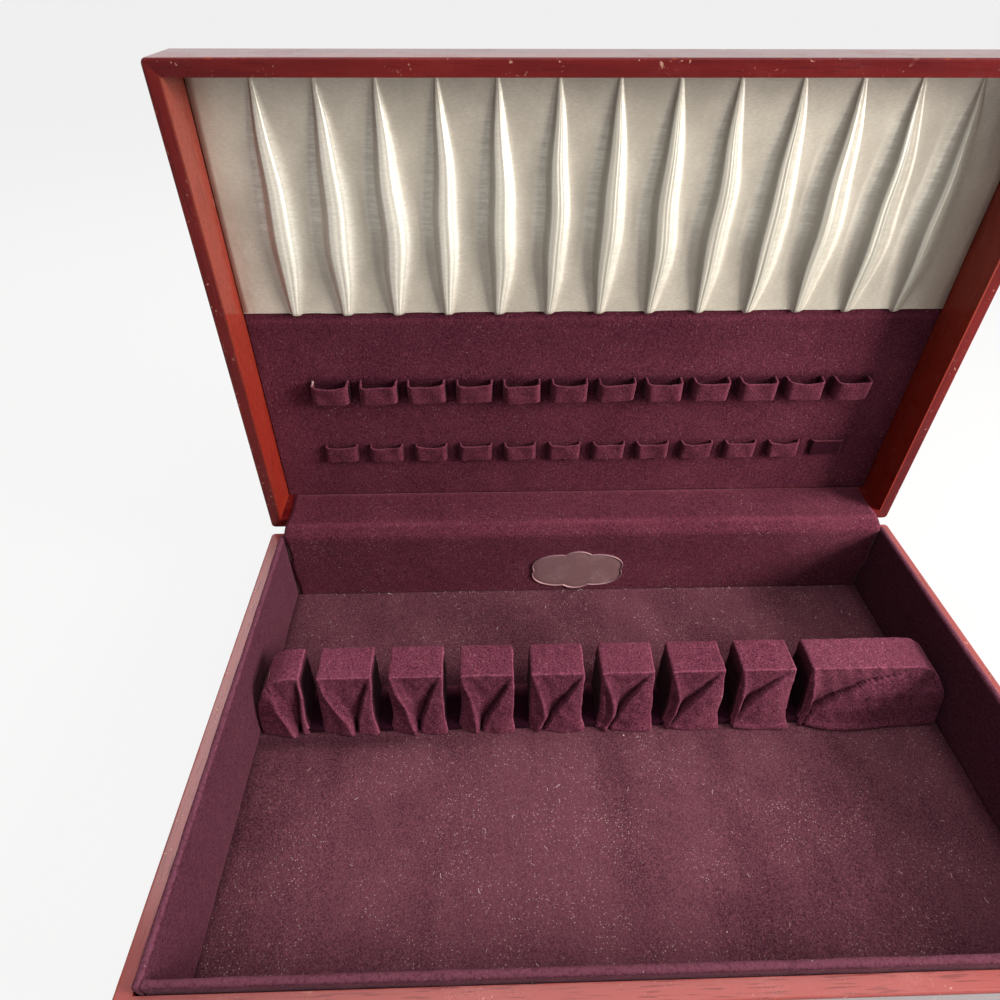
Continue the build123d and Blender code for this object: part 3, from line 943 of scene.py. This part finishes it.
def make_hinge_cloth():
    """One felt cloth: along the lid's rear rail, over the hinge gap and down to the floor."""
    rail_face = lid_low.z + wall + 0.55 * MM
    wall_face = cover_low.y + 0.5 * MM
    crown = cover_high.z - 1.9 * MM
    corners = [
        (lining_low.y - 0.1 * MM, rail_face),
        (lid_low.y + 1.5 * MM, rail_face),
        (lid_low.y - 5.0 * MM, rail_face - 0.1 * MM),
        (wall_face + 9.0 * MM, rail_face - 0.5 * MM),
        (wall_face + 3.2 * MM, rail_face - 2.0 * MM),
        (wall_face + 0.4 * MM, crown - 3.4 * MM),
        (wall_face, crown - 7.0 * MM),
        (wall_face, cover_low.z + 0.05 * MM),
    ]
    path, length = spaced(rounded_path(corners), 1.25 * MM)
    slope = np.gradient(path, axis=0)
    slope /= np.linalg.norm(slope, axis=1)[:, None]
    outward = places(slope[:, 1], -slope[:, 0])
    across = np.linspace(cover_low.x, cover_high.x, cover_columns)
    along = np.linspace(0, length, len(path))
    drag = ripples(31, 26 * MM)
    fine = ripples(32, 9 * MM)
    crown_point = np.array([wall_face + 7 * MM, rail_face])
    at_crown = along[np.argmin(np.linalg.norm(path - crown_point, axis=1))]
    points, painted_light_and_wear = [], []
    for (y, z), (out_y, out_z), at in zip(path, outward, along):
        place = places(across * 0.35, at, 0)
        swell = 0.5 + 0.5 * drag(place)
        small = 0.5 + 0.5 * fine(place * np.array([2.2, 1, 1]))
        free = bell((at - length * 0.36) / (12 * MM))
        on_wall = smooth_step(at, length * 0.5, length * 0.6)
        lift = (0.10 + 0.75 * free) * swell * MM * (1 - 0.7 * on_wall) + 0.12 * small * MM
        sway = 0.6 * MM * np.sin(at * 190 + across * 9) * (np.abs(across) / cover_high.x) ** 8
        points.append(places(across + sway, y + out_y * lift, z + out_z * lift))
        # Pale along the crown and the cloth's upper edge: lint and a painted highlight
        worn = 0.9 * bell((at - at_crown) / (1.8 * MM)) + 0.8 * bell((at - 1.5 * MM) / MM)
        painted_light_and_wear.append(worn * (0.3 + 0.7 * swell))
    points = np.concatenate(points)
    cloth = make_piece("hinge_cloth", points, grid_faces(len(path), len(across), flip=True),
                       cover_felt, stands_for=["hinge_cover"])
    mark(cloth, np.concatenate(painted_light_and_wear))
    thicken(cloth, cover_cloth, 0.0)
    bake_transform(cloth)


# ---------------------------------------------------------------- lid lining and loops

loop_count = 12
loop_pitch = 28.0 * MM
loop_shift = 1.5 * MM
loop_cloth = 1.2 * MM
# For each row: up from the hinge edge, height, width, depth and dent in the lining
upper_row = (80.5 * MM, 11.5 * MM, 19.2 * MM, 7.2 * MM, 0.55 * MM)
lower_row = (36.3 * MM, 10.5 * MM, 17.8 * MM, 3.0 * MM, 0.35 * MM)
loop_places = (np.arange(loop_count) - (loop_count - 1) / 2) * loop_pitch + loop_shift
strap_levels = (0.0, 0.04, 0.12, 0.22, 0.34, 0.46, 0.58, 0.70, 0.80, 0.88, 0.94, 0.975, 1.0)


def make_lining():
    """Felt-covered card, with a pressed line under the satin, dents round the loops and painted
    shade.
    """
    low, high = Vector(lining_low), Vector(lining_high)
    cells = (2.2 * MM, 2 * MM, 2.2 * MM)
    lattice, points, _, faces = rounded_box(low, high, 0.6 * MM, cells)
    swell = ripples(41, 60 * MM)(lattice) * 0.5 + ripples(42, 15 * MM)(lattice) * 0.5
    front = np.clip(1 - (lattice[:, 1] - low.y) / (0.5 * MM), 0, 1)
    up = lattice[:, 2] - lid_low.z
    under_satin = up - (satin_low.z - lid_low.z - 5 * MM)
    depth = 0.16 * MM * (1 - swell) + 0.35 * MM * bell(under_satin / (1.2 * MM))
    shaded = np.zeros(len(points))
    for row_up, row_high, row_width, row_depth, dent in (upper_row, lower_row):
        at_row = np.exp(-((up - row_up - row_high / 2) / (row_high * 0.62)) ** 4)
        inside_loop = 0.8 * smooth_step(up, row_up, row_up + row_high)
        for x in loop_places:
            beside = (np.abs(lattice[:, 0] - x) - row_width / 2) / (1.6 * MM)
            depth += dent * bell(beside) * at_row
            outside = smooth_step(beside, -0.6, 0.0) * smooth_step(beside, 4.0, 0.6)
            within = inside_loop * smooth_step(beside, 0.0, -0.8)
            shaded += np.maximum(outside, within) * min(1.0, row_depth / (6.0 * MM)) * at_row
    points[:, 1] += depth * front
    piece = make_piece("lining_felt", points, faces, lining_felt, "lid", ["loop_board"])
    # Painted shade in and between the loops, and darker towards the satin; a pale line along the
    # pressed line
    shaded = 0.85 * np.clip(shaded, 0, 1) + 0.22 * smooth_step(up, 92 * MM, 128 * MM)
    mark(piece, 0.3 * bell(under_satin / (0.9 * MM)) - shaded)


def strap_plan(width, depth, corner, bow):
    """The plan of one loop, (across, out of the lining), from slit to slit."""
    half = width / 2
    leg = np.array([
        [-half - 0.5 * MM, -0.5 * MM], [-half, 0.8 * MM], [-half + 0.1 * MM, depth - corner],
    ])
    turns = np.linspace(pi, pi / 2, 6)[1:]
    centre = np.array([corner - half, depth - corner])
    bend = centre + corner * places(np.cos(turns), np.sin(turns))
    front = np.linspace(-half + corner, half - corner, 13)[1:-1]
    face = places(front, depth + bow * (1 - (front / (half - corner)) ** 2))
    left = np.concatenate([leg, bend])
    right = left[::-1] * np.array([-1, 1])
    return np.concatenate([left, face, right])


def strap(x, row, random, flat):
    """One felt loop: open at its top and bottom, its upper edge dipping in the middle."""
    up, height, width, depth = row[:4]
    up = lid_low.z + up
    width = width * random.uniform(0.96, 1.02)
    bow = random.uniform(-0.5, 0.25) * MM
    dip = random.uniform(0.5, 1.3) * MM
    tilt = random.uniform(-0.01, 0.10)
    lean = random.uniform(0.86, 1.0)
    skew = random.uniform(-0.5, 0.5) * MM
    plan = strap_plan(width, depth, min(2.2 * MM, depth * 0.55), bow)
    plan[:, 1] *= 1 - flat
    across, out = plan.T
    reach = np.clip(out / depth, 0, 1.1)
    at_corner = bell((np.abs(across) - width / 2 + 0.6 * MM) / (0.8 * MM))
    points, painted_light_and_wear = [], []
    for t in strap_levels:
        sag = dip * t ** 2 * np.clip(1 - (across / (width / 2)) ** 2, 0, 1) * reach
        rise = 0.5 * MM * t ** 3 * (1 - np.clip(reach, 0, 1))
        z = up + height * t - sag + rise + tilt * across * reach
        wave = 0.25 * MM * np.sin(across * 420 + t * 3 + x * 90) * reach
        y = lining_low.y - out * (lean + (1 - lean) * t) - wave
        points.append(places(x + across + skew * (t - 0.5), y, z))
        # Painted highlight along the top and bottom edges and the corners; painted shade at the
        # back, near the lining
        rim = 0.60 * smooth_step(t, 0.94, 0.98) + 0.25 * smooth_step(t, 0.06, 0.0)
        painted_back_shade = 0.7 * smooth_step(reach, 0.8, 0.2) * (t < 0.95)
        painted_light_and_wear.append(np.maximum(rim, 0.30 * at_corner * reach) - painted_back_shade)
    faces = grid_faces(len(strap_levels), len(plan), flip=True)
    return np.concatenate(points), faces, np.concatenate(painted_light_and_wear)


def make_loops(name, node, row, seed, pressed=(), bare=()):
    """A row of loops; some lie pressed flat, some are worn bare at their upper left corner."""
    random = np.random.default_rng(seed)
    straps = []
    for i, x in enumerate(loop_places):
        flat = 0.72 if i in pressed else random.uniform(0, 0.18)
        points, faces, painted_light_and_wear = strap(x, row, random, flat)
        if i in bare:
            left, top = points[:, 0].min(), points[:, 2].max()
            end = smooth_step(points[:, 0], left + 1.8 * MM, left)
            painted_light_and_wear = painted_light_and_wear + 1.9 * end * smooth_step(points[:, 2], top - 2.5 * MM, top)
        straps.append((points, faces, painted_light_and_wear))
    points, faces, painted_light_and_wear = joined(straps)
    piece = make_piece(name, points, faces, loop_felt, "lid", [node])
    mark(piece, painted_light_and_wear)
    thicken(piece, loop_cloth, -1.0)


# ---------------------------------------------------------------- slotted rack

slot_count = 8
slot_pitch = 37.8 * MM
slot_first = 29.0 * MM
slot_width = 9.0 * MM
rack_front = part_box("rack_base")[0].y - 1.0 * MM
drape_run = rack_front - rack_low.y  # how far the drape runs out over the floor
shoulder, shoulder_high = 20.0 * MM, 24.0 * MM
cap_edge = 1.1 * MM

# One entry for each block, left to right. The ridge of the left flap and the crease under
# the right flap: their place across the front at five heights, top to floor. Then how far
# the left and right flaps stand out, the tuck beside the left one and the hem, in mm.
fold_levels = (0.0, 0.25, 0.5, 0.75, 1.0)
rack_folds = [
    ((0.16, 0.24, 0.40, 0.60, 0.74), (0.93, 0.90, 0.88, 0.86, 0.84), 2.6, 1.4, 0.0, 0.0),
    ((0.02, 0.11, 0.27, 0.49, 0.56), (0.94, 0.85, 0.76, 0.66, 0.60), 2.4, 1.6, 0.0, 0.0),
    ((0.00, 0.13, 0.27, 0.33, 0.46), (0.93, 0.80, 0.66, 0.54, 0.48), 2.4, 1.8, 0.0, 0.0),
    ((0.00, 0.12, 0.21, 0.29, 0.33), (0.97, 0.82, 0.66, 0.50, 0.39), 2.2, 1.8, 0.0, 0.0),
    ((0.00, 0.15, 0.26, 0.30, 0.16), (0.97, 0.82, 0.63, 0.42, 0.22), 2.2, 2.0, 0.0, 0.0),
    ((0.00, 0.17, 0.26, 0.27, 0.13), (0.97, 0.73, 0.50, 0.33, 0.20), 2.4, 2.2, 1.6, 1.0),
    ((0.00, 0.12, 0.18, 0.16, 0.05), (0.97, 0.72, 0.46, 0.24, 0.08), 2.4, 2.4, 1.6, 0.8),
    ((0.00, 0.08, 0.10, 0.06, 0.01), (0.97, 0.62, 0.31, 0.10, 0.02), 2.0, 2.6, 0.0, 2.2),
    ((0.00, 0.03, 0.04, 0.03, 0.01), (0.85, 0.42, 0.22, 0.07, 0.02), 2.2, 2.8, 1.4, 2.4),
]


def cap_ends():
    """Left and right ends of the felt-covered blocks."""
    slots = rack_low.x + slot_first + np.arange(slot_count) * slot_pitch
    lefts = [rack_low.x, *(slots + slot_width / 2)]
    rights = [*(slots - slot_width / 2), rack_high.x]
    return list(zip(lefts, rights))


def fold_lines(w, fold):
    """The ridge's and the crease's places across the front, w down."""
    ridge_at = np.interp(w, fold_levels, fold[0])
    return ridge_at, np.maximum(np.interp(w, fold_levels, fold[1]), ridge_at + 0.02)


def fold_relief(u, w, width, fold):
    """How far the drape stands out from the block's front, at u across and w down.

    A slack panel hangs close to the block between two flaps: the left one ends in a ridge,
    the right one starts at a crease, and both run out over the floor.
    """
    left_out, right_out, tuck, hem = (value * MM for value in fold[2:])
    ridge_at, crease_at = fold_lines(w, fold)
    past_ridge = np.maximum(u - ridge_at, 0) * width
    past_crease = (u - crease_at) * width
    panel = drape_run * (0.22 * w + 0.10 * w ** 3)
    panel = panel + 0.5 * MM * np.sin(pi * u) * np.sin(pi * np.clip(w, 0, 1))
    left = left_out * smooth_step(w, -0.08, 0.35) + 0.36 * drape_run * w ** 1.3
    right = right_out * smooth_step(w, -0.02, 0.5) + 0.40 * drape_run * w ** 1.2
    on_left = np.clip(u / np.maximum(ridge_at, 1e-3), 0, 1)
    inner = (u - 0.55 * ridge_at) * width / (0.7 * MM)
    flap = left * (0.45 + 0.55 * on_left ** 1.2) - tuck * bell(inner) * smooth_step(w, 0.3, 0.55)
    edge = left * bell(past_ridge / (2.4 * MM))
    sheet = right * (0.74 * smooth_step(past_crease, -0.1 * MM, 1.1 * MM)
                     + 0.26 * smooth_step(past_crease, 1.0 * MM, 12 * MM))
    sheet = sheet * (1 - 0.22 * np.clip(u, 0, 1) ** 8)
    crease = 0.5 * MM * smooth_step(past_crease, -8 * MM, -0.5 * MM) * smooth_step(w, 0.0, 0.3)
    crease = crease * (1 - smooth_step(past_crease, -0.2 * MM, 1.0 * MM))
    relief = np.where(u < ridge_at, np.maximum(flap, 0), np.maximum(edge, sheet) - crease)
    hem = hem * bell((w - 0.95) / 0.045) * (0.55 + 0.45 * np.sin(u * 7 + width * 900))
    return panel + relief + hem


def fold_marks(u, w, width, fold):
    """Painted highlight along the drape's ridge and crease, and painted shade beside them."""
    ridge_at, crease_at = fold_lines(w, fold)
    past_ridge = (u - ridge_at) * width / MM
    past_crease = (u - crease_at) * width / MM
    pale = 0.45 * bell(past_ridge / 0.9) + 0.40 * bell((past_crease - 1.5) / 0.9)
    dark = 0.45 * bell((past_ridge - 2.2) / 1.3) + 0.85 * bell(past_crease + 0.4)
    return (pale - dark) * smooth_step(w, 0.04, 0.2)


def round_shoulder(points, out, side, top, w):
    """Round an end block's upper outer corner, and let its side bulge over a drawn-in foot."""
    centre = side - out * shoulder
    in_x = np.clip(out * (points[:, 0] - centre) / shoulder, 0, None)
    in_z = np.clip((points[:, 2] - (top - shoulder_high)) / shoulder_high, 0, None)
    reach = np.hypot(in_x, in_z)
    scale = np.where(reach > 1e-6, np.maximum(in_x, in_z) / np.maximum(reach, 1e-6), 1)
    both = (in_x > 0) & (in_z > 0)
    points[:, 0] = np.where(both, centre + out * in_x * scale * shoulder, points[:, 0])
    points[:, 2] = np.where(both, top - shoulder_high * (1 - in_z * scale), points[:, 2])
    bulge = 1.1 * bell((w - 0.55) / 0.22) - 1.6 * smooth_step(w, 0.82, 1.0)
    points[:, 0] += out * bulge * MM * smooth_step(in_x, 0.4, 1.0)


def rack_cap(i, x0, x1):
    """The felt over one block, draped out in front and folded like a parcel's end."""
    fold = rack_folds[i]
    low = (x0, rack_front, rack_low.z)
    high = (x1, rack_high.y, rack_high.z)
    cells = (0.85 * MM, 2.2 * MM, 0.95 * MM)
    lattice, points, normals, faces = rounded_box(low, high, cap_edge, cells)
    u = (lattice[:, 0] - x0) / (x1 - x0)
    w = (high[2] - lattice[:, 2]) / (high[2] - low[2])
    behind = (lattice[:, 1] - rack_front) / (rack_high.y - rack_front)
    relief = np.clip(fold_relief(u, w, x1 - x0, fold), -0.5 * MM, drape_run + 2.5 * MM)
    points[:, 1] -= relief * smooth_step(behind, 0.62, 0.0)
    foot = smooth_step(w, 0.7, 1.0) * smooth_step(behind, 0.5, 0.0) * 1.5 * MM
    ahead = smooth_step(rack_front - points[:, 1], 0.4 * MM, 2.5 * MM)
    down = np.sin(np.clip(w, 0, 1) * pi)
    hollow = -0.8 * MM * down * smooth_step(behind, 0.0, 0.1) * ahead
    lean = 0.5 * MM * np.sin(w * 5.0 + i * 2.1) * smooth_step(behind, 0.4, 0.0)
    points[:, 0] += (2 * u - 1) ** 3 * (foot + hollow) + lean * smooth_step(w, 0.1, 0.4)
    if i == 0:
        round_shoulder(points, -1, x0, high[2], w)
    if i == slot_count:
        round_shoulder(points, 1, x1, high[2], w)
    soft = 0.18 * MM * ripples(60 + i, 11 * MM)(lattice)
    soft += 0.07 * MM * ripples(80 + i, 4 * MM)(lattice)
    points += normals * soft[:, None]
    edges = on_edges(normals)
    # Painted highlight on the top edges and the folds; painted shade beside the folds and down the
    # slots' sides
    painted_light_and_wear = 0.9 * edges * smooth_step(w, 1.0, 0.9)
    painted_light_and_wear += smooth_step(behind, 0.2, 0.0) * fold_marks(u, w, x1 - x0, fold) * (1 - edges)
    beside = np.clip(np.abs(normals[:, 0]) * 2 - 1, 0, 1)
    painted_light_and_wear -= beside * (0.35 + 0.6 * smooth_step(w, 0.0, 0.30)) * smooth_step(behind, -0.05, 0.12)
    return points, faces, painted_light_and_wear


def make_rack_felt():
    """The caps over the blocks and the strips in the slots, with painted shade, as one piece."""
    ends = cap_ends()
    parts = [rack_cap(i, x0, x1) for i, (x0, x1) in enumerate(ends)]
    strip_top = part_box("rack_base")[1].z + 0.9 * MM
    for (_, x0), (x1, _) in zip(ends, ends[1:]):
        low = (x0 - 0.4 * MM, rack_front - 7 * MM, rack_low.z)
        high = (x1 + 0.4 * MM, rack_high.y - 0.5 * MM, strip_top)
        _, points, _, faces = rounded_box(low, high, 0.8 * MM, (2 * MM,) * 3)
        # Painted shade on the strips, darkest at the back of the slots
        dark = -0.9 * smooth_step(points[:, 1], rack_high.y, rack_high.y - 10 * MM)
        parts.append((points, faces, dark))
    points, faces, painted_light_and_wear = joined(parts)
    piece = make_piece("rack_felt_caps", points, faces, rack_felt, "base", ["rack_felt"])
    mark(piece, painted_light_and_wear)


# ---------------------------------------------------------------- nameplate

# The plate's section from its edge inwards: inset and height, in mm
plate_section = [
    (0.0, 0.0), (0.0, 0.6), (0.10, 0.98), (0.28, 1.22), (0.50, 1.27), (0.70, 1.12), (0.85, 0.80),
    (0.98, 0.55), (1.3, 0.50), (1.7, 0.62), (2.2, 0.74), (4.5, 0.78), (7.0, 0.80),
]


def plate_reach(angle):
    """Distance from the plate's middle to its scalloped edge: four lobes and a bulge."""
    half_width = (plate_high.x - plate_low.x) / 2
    half_height = (plate_high.z - plate_low.z) / 2
    lobe, drop, rise = 12.5 * MM, 3.6 * MM, 10.6 * MM
    ovals = [(0.0, 0.0, 15.2 * MM, half_height)]
    for side in (-1, 1):
        for up in (-1, 1):
            ovals.append((side * lobe, up * drop, half_width - lobe, rise))
    c, s = np.cos(angle), np.sin(angle)
    reach = 0 * angle
    for x, z, a, b in ovals:
        square = (c / a) ** 2 + (s / b) ** 2
        half = c * x / a ** 2 + s * z / b ** 2
        left_over = half ** 2 - square * ((x / a) ** 2 + (z / b) ** 2 - 1)
        far = (half + np.sqrt(np.maximum(left_over, 0))) / square
        reach = np.maximum(reach, np.where(left_over > 0, far, 0))
    return reach


def make_plate():
    """A thin stamped plate with a rounded raised border and a slightly domed field, bare."""
    middle = (plate_low + plate_high) / 2
    back = plate_high.y
    count = 360
    angles = np.linspace(0, 2 * pi, count + 1)[:-1]
    reach = plate_reach(angles)
    rings = []
    for inset, height in plate_section:
        ring = reach - inset * MM
        x = middle.x + ring * np.cos(angles)
        z = middle.z + ring * np.sin(angles)
        rings.append(places(x, back - height * MM, z))
    inner = rings[-1] - rings[-1].mean(axis=0)
    for share in (0.6, 0.25):
        rings.append(np.array([middle.x, back - 0.86 * MM, middle.z]) + inner * share)
    faces = []
    for r in range(len(rings) - 1):
        a, b = r * count, (r + 1) * count
        for c in range(count):
            n = (c + 1) % count
            faces.append((b + c, b + n, a + n, a + c))
    points = np.concatenate(rings)
    warp = 0.08 * MM * ripples(51, 30 * MM)(points)
    points[:, 1] += warp * (points[:, 1] < back - 0.3 * MM)
    front_middle = len(points)
    points = np.concatenate([points, [[middle.x, back - 0.87 * MM, middle.z],
                                      [middle.x, back, middle.z]]])
    last = (len(rings) - 1) * count
    for c in range(count):
        n = (c + 1) % count
        faces.append((last + n, last + c, front_middle))
        faces.append((c, n, front_middle + 1))
    make_piece("plate", points, faces, pewter, "base", ["nameplate"])


# ---------------------------------------------------------------- lint fibres


def make_scatter_group():
    """Short bent fibres lying on a surface, thicker on the ground where a noise says so."""
    inputs = {"Geometry": "Geometry", "Density": "Float", "Length": "Float",
              "Thickness": "Float", "Seed": "Int", "Material": "Material"}
    group, given, out = new_group("lint_scatter", inputs, {"Geometry": "Geometry"},
                                  "GeometryNodeTree")

    def step(kind, **fed):
        """A node with its inputs fed; returns its first output."""
        return Value(feed_all(add(group, kind), **fed).outputs[0])

    def random_value(kind, low, high, seed):
        """A random number or turn for each fibre."""
        node = add(group, "FunctionNodeRandomValue", data_type=kind)
        limits = [socket for socket in node.inputs if socket.enabled][:2]
        for socket, value in zip(limits, (low, high)):
            feed(socket, value)
        feed(node.inputs["Seed"], given["Seed"] + seed)
        return Value(next(socket for socket in node.outputs if socket.enabled))

    cloud = noise(step("GeometryNodeInputPosition"), 22.0)
    thick = step("ShaderNodeMapRange", Value=cloud, From_Min=0.40, From_Max=0.62,
                 To_Min=0.15, To_Max=1.0)
    points = step("GeometryNodeDistributePointsOnFaces", Mesh=given["Geometry"],
                  Density=thick * given["Density"], Seed=given["Seed"])
    bend = step("GeometryNodeCurveQuadraticBezier", Resolution=4, Start=(-0.5, -0.06, 0.02),
                Middle=(0.05, 0.22, 0.10), End=(0.5, -0.1, 0.02))
    rim = step("GeometryNodeCurvePrimitiveCircle", Resolution=3, Radius=given["Thickness"])
    fibre = step("GeometryNodeCurveToMesh", Curve=bend, Profile_Curve=rim)
    size = random_value("FLOAT", 0.25, 1.0, 1.0) ** 2.2 * given["Length"]
    spin = random_value("FLOAT_VECTOR", (-0.12, -0.12, 0.0), (0.12, 0.12, 2 * pi), 2.0)
    fibres = step("GeometryNodeInstanceOnPoints", Points=points, Instance=fibre,
                  Rotation=spin, Scale=size)
    real = step("GeometryNodeRealizeInstances", Geometry=fibres)
    feed(out.inputs[0], step("GeometryNodeSetMaterial", Geometry=real,
                             Material=given["Material"]))
    return group


def level_rectangle(name, low, high, z):
    """A flat object with one face, between two corners."""
    (x0, y0), (x1, y1) = low, high
    mesh = bpy.data.meshes.new(name)
    mesh.from_pydata([(x0, y0, z), (x1, y0, z), (x1, y1, z), (x0, y1, z)], [], [(0, 1, 2, 3)])
    return new_object(name, mesh)


def scatter_lint(name, group, low, high, **values):
    """Fibres on a rectangle of the base's floor."""
    piece = level_rectangle(name, low, high, floor_z + 0.02 * MM)
    scatter = piece.modifiers.new("scatter", "NODES")
    scatter.node_group = group
    values["Material"] = lint
    for item in group.interface.items_tree:
        if item.in_out == "INPUT" and item.name in values:
            scatter[item.identifier] = values[item.name]
    finish_modifiers(piece)
    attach(piece, "base")


def make_lint():
    """Fibres in front of the rack and behind it, at the rear wall's foot and in its corner."""
    group = make_scatter_group()
    left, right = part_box("liner_left")[1].x + 2 * MM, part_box("liner_right")[0].x - 2 * MM
    front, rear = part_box("liner_front")[1].y + 2 * MM, cover_low.y
    scatter_lint("lint_front", group, (left, front), (right, rack_low.y - 1 * MM),
                 Density=5500.0, Length=2.5 * MM, Thickness=0.034, Seed=3)
    scatter_lint("lint_rear", group, (left, rack_high.y + 1 * MM), (right, rear - 1 * MM),
                 Density=9000.0, Length=2.4 * MM, Thickness=0.035, Seed=7)
    scatter_lint("lint_wall_foot", group, (left + 2 * MM, rear - 1.6 * MM),
                 (right - 4 * MM, rear - 0.4 * MM),
                 Density=330000.0, Length=3.4 * MM, Thickness=0.034, Seed=11)
    scatter_lint("lint_corner", group, (right - 43 * MM, rear - 14 * MM),
                 (right - 2 * MM, rear - 2 * MM),
                 Density=16000.0, Length=7.5 * MM, Thickness=0.045, Seed=5)


make_hinge_cloth()
make_lining()
make_loops("upper_loops", "upper_knife_loops", upper_row, 3, bare=(0,))
make_loops("lower_loops", "lower_knife_loops", lower_row, 4, pressed=(11,))
make_rack_felt()
make_plate()
make_lint()

# ---------------------------------------------------------------- stage, lights, camera

ambient = 0.15


def seen_directly(tree):
    """1 for rays from the camera and for those mirrored or passed on by a surface."""
    rays = add(tree, "ShaderNodeLightPath").outputs
    kinds = ("Is Camera Ray", "Is Glossy Ray", "Is Transmission Ray")
    camera, mirrored, passed_on = (Value(rays[kind]) for kind in kinds)
    return higher(camera, higher(mirrored, passed_on))


def make_stage():
    """A pale plain floor that the camera sees as near white."""
    half = 12.0
    floor = level_rectangle("stage_floor", (-half, -half), (half, half), 0)
    material = bpy.data.materials.new("stage_floor")
    material.use_nodes = True
    tree = material.node_tree
    shader = feed_all(tree.nodes["Principled BSDF"], Base_Color=(0.55, 0.55, 0.55),
                      Roughness=0.9, Specular_IOR_Level=0.1)
    glow = feed_all(add(tree, "ShaderNodeEmission"), Strength=1.0)
    blend = add(tree, "ShaderNodeMixShader")
    feed(blend.inputs[0], seen_directly(tree) * 0.85)
    feed(blend.inputs[1], Value(shader.outputs[0]))
    feed(blend.inputs[2], Value(glow.outputs[0]))
    feed(tree.nodes["Material Output"].inputs[0], Value(blend.outputs[0]))
    floor.data.materials.append(material)


def make_world():
    """White where the camera sees it, and a dim light from all round."""
    world = bpy.data.worlds.new("studio")
    world.use_nodes = True
    tree = world.node_tree
    strength = span(seen_directly(tree), 0, 1, ambient, 1.0)
    feed_all(tree.nodes["Background"], Color=(1, 1, 1), Strength=strength)
    bpy.context.scene.world = world


def make_light(name, place, target, size, power, colour):
    """A square area light, aimed at a point."""
    data = bpy.data.lights.new(name, "AREA")
    data.shape = "RECTANGLE"
    data.size = data.size_y = size
    data.energy = power
    data.color = colour
    light = new_object(name, data)
    light.location = place
    aim = Vector(target) - Vector(place)
    light.rotation_euler = aim.to_track_quat("-Z", "Y").to_euler()


def make_camera():
    """The viewpoint: above the front left of the chest, looking down into it."""
    rim_height, above_rim = 53.0, 292.93
    place = Vector((-63.48, -196.26, rim_height + above_rim)) * MM
    yaw, pitch, roll = radians(1.728), radians(39.664), radians(0.286)
    focal_pixels = 674.15
    frame_pixels = 1000
    data = bpy.data.cameras.new("camera")
    data.sensor_width = 36.0
    data.lens = focal_pixels / frame_pixels * data.sensor_width
    data.clip_start = 0.01
    camera = new_object("camera", data)
    ahead = Vector((sin(yaw) * cos(pitch), cos(yaw) * cos(pitch), -sin(pitch)))
    right = Vector((cos(yaw), -sin(yaw), 0))
    above = right.cross(ahead)
    side = right * cos(roll) + above * sin(roll)
    top = -right * sin(roll) + above * cos(roll)
    turn = Matrix((side, top, -ahead)).transposed()
    camera.matrix_world = Matrix.Translation(place) @ turn.to_4x4()
    bpy.context.scene.camera = camera


make_stage()
make_world()
make_light("overhead", (0.15, -0.15, 1.3), (0.0, 0.04, 0.1), 1.5, 12.5, (1.0, 0.98, 0.95))
make_light("sky_behind_left", (-0.64, 0.62, 1.02), (-0.12, 0.0, 0.05), 0.55, 5,
           (1.0, 0.90, 0.91))
make_light("window_right", (0.88, -0.25, 0.48), (0.05, 0.05, 0.1), 0.42, 19, (1.0, 0.95, 0.89))
make_camera()
bpy.context.scene.view_settings.view_transform = "Standard"
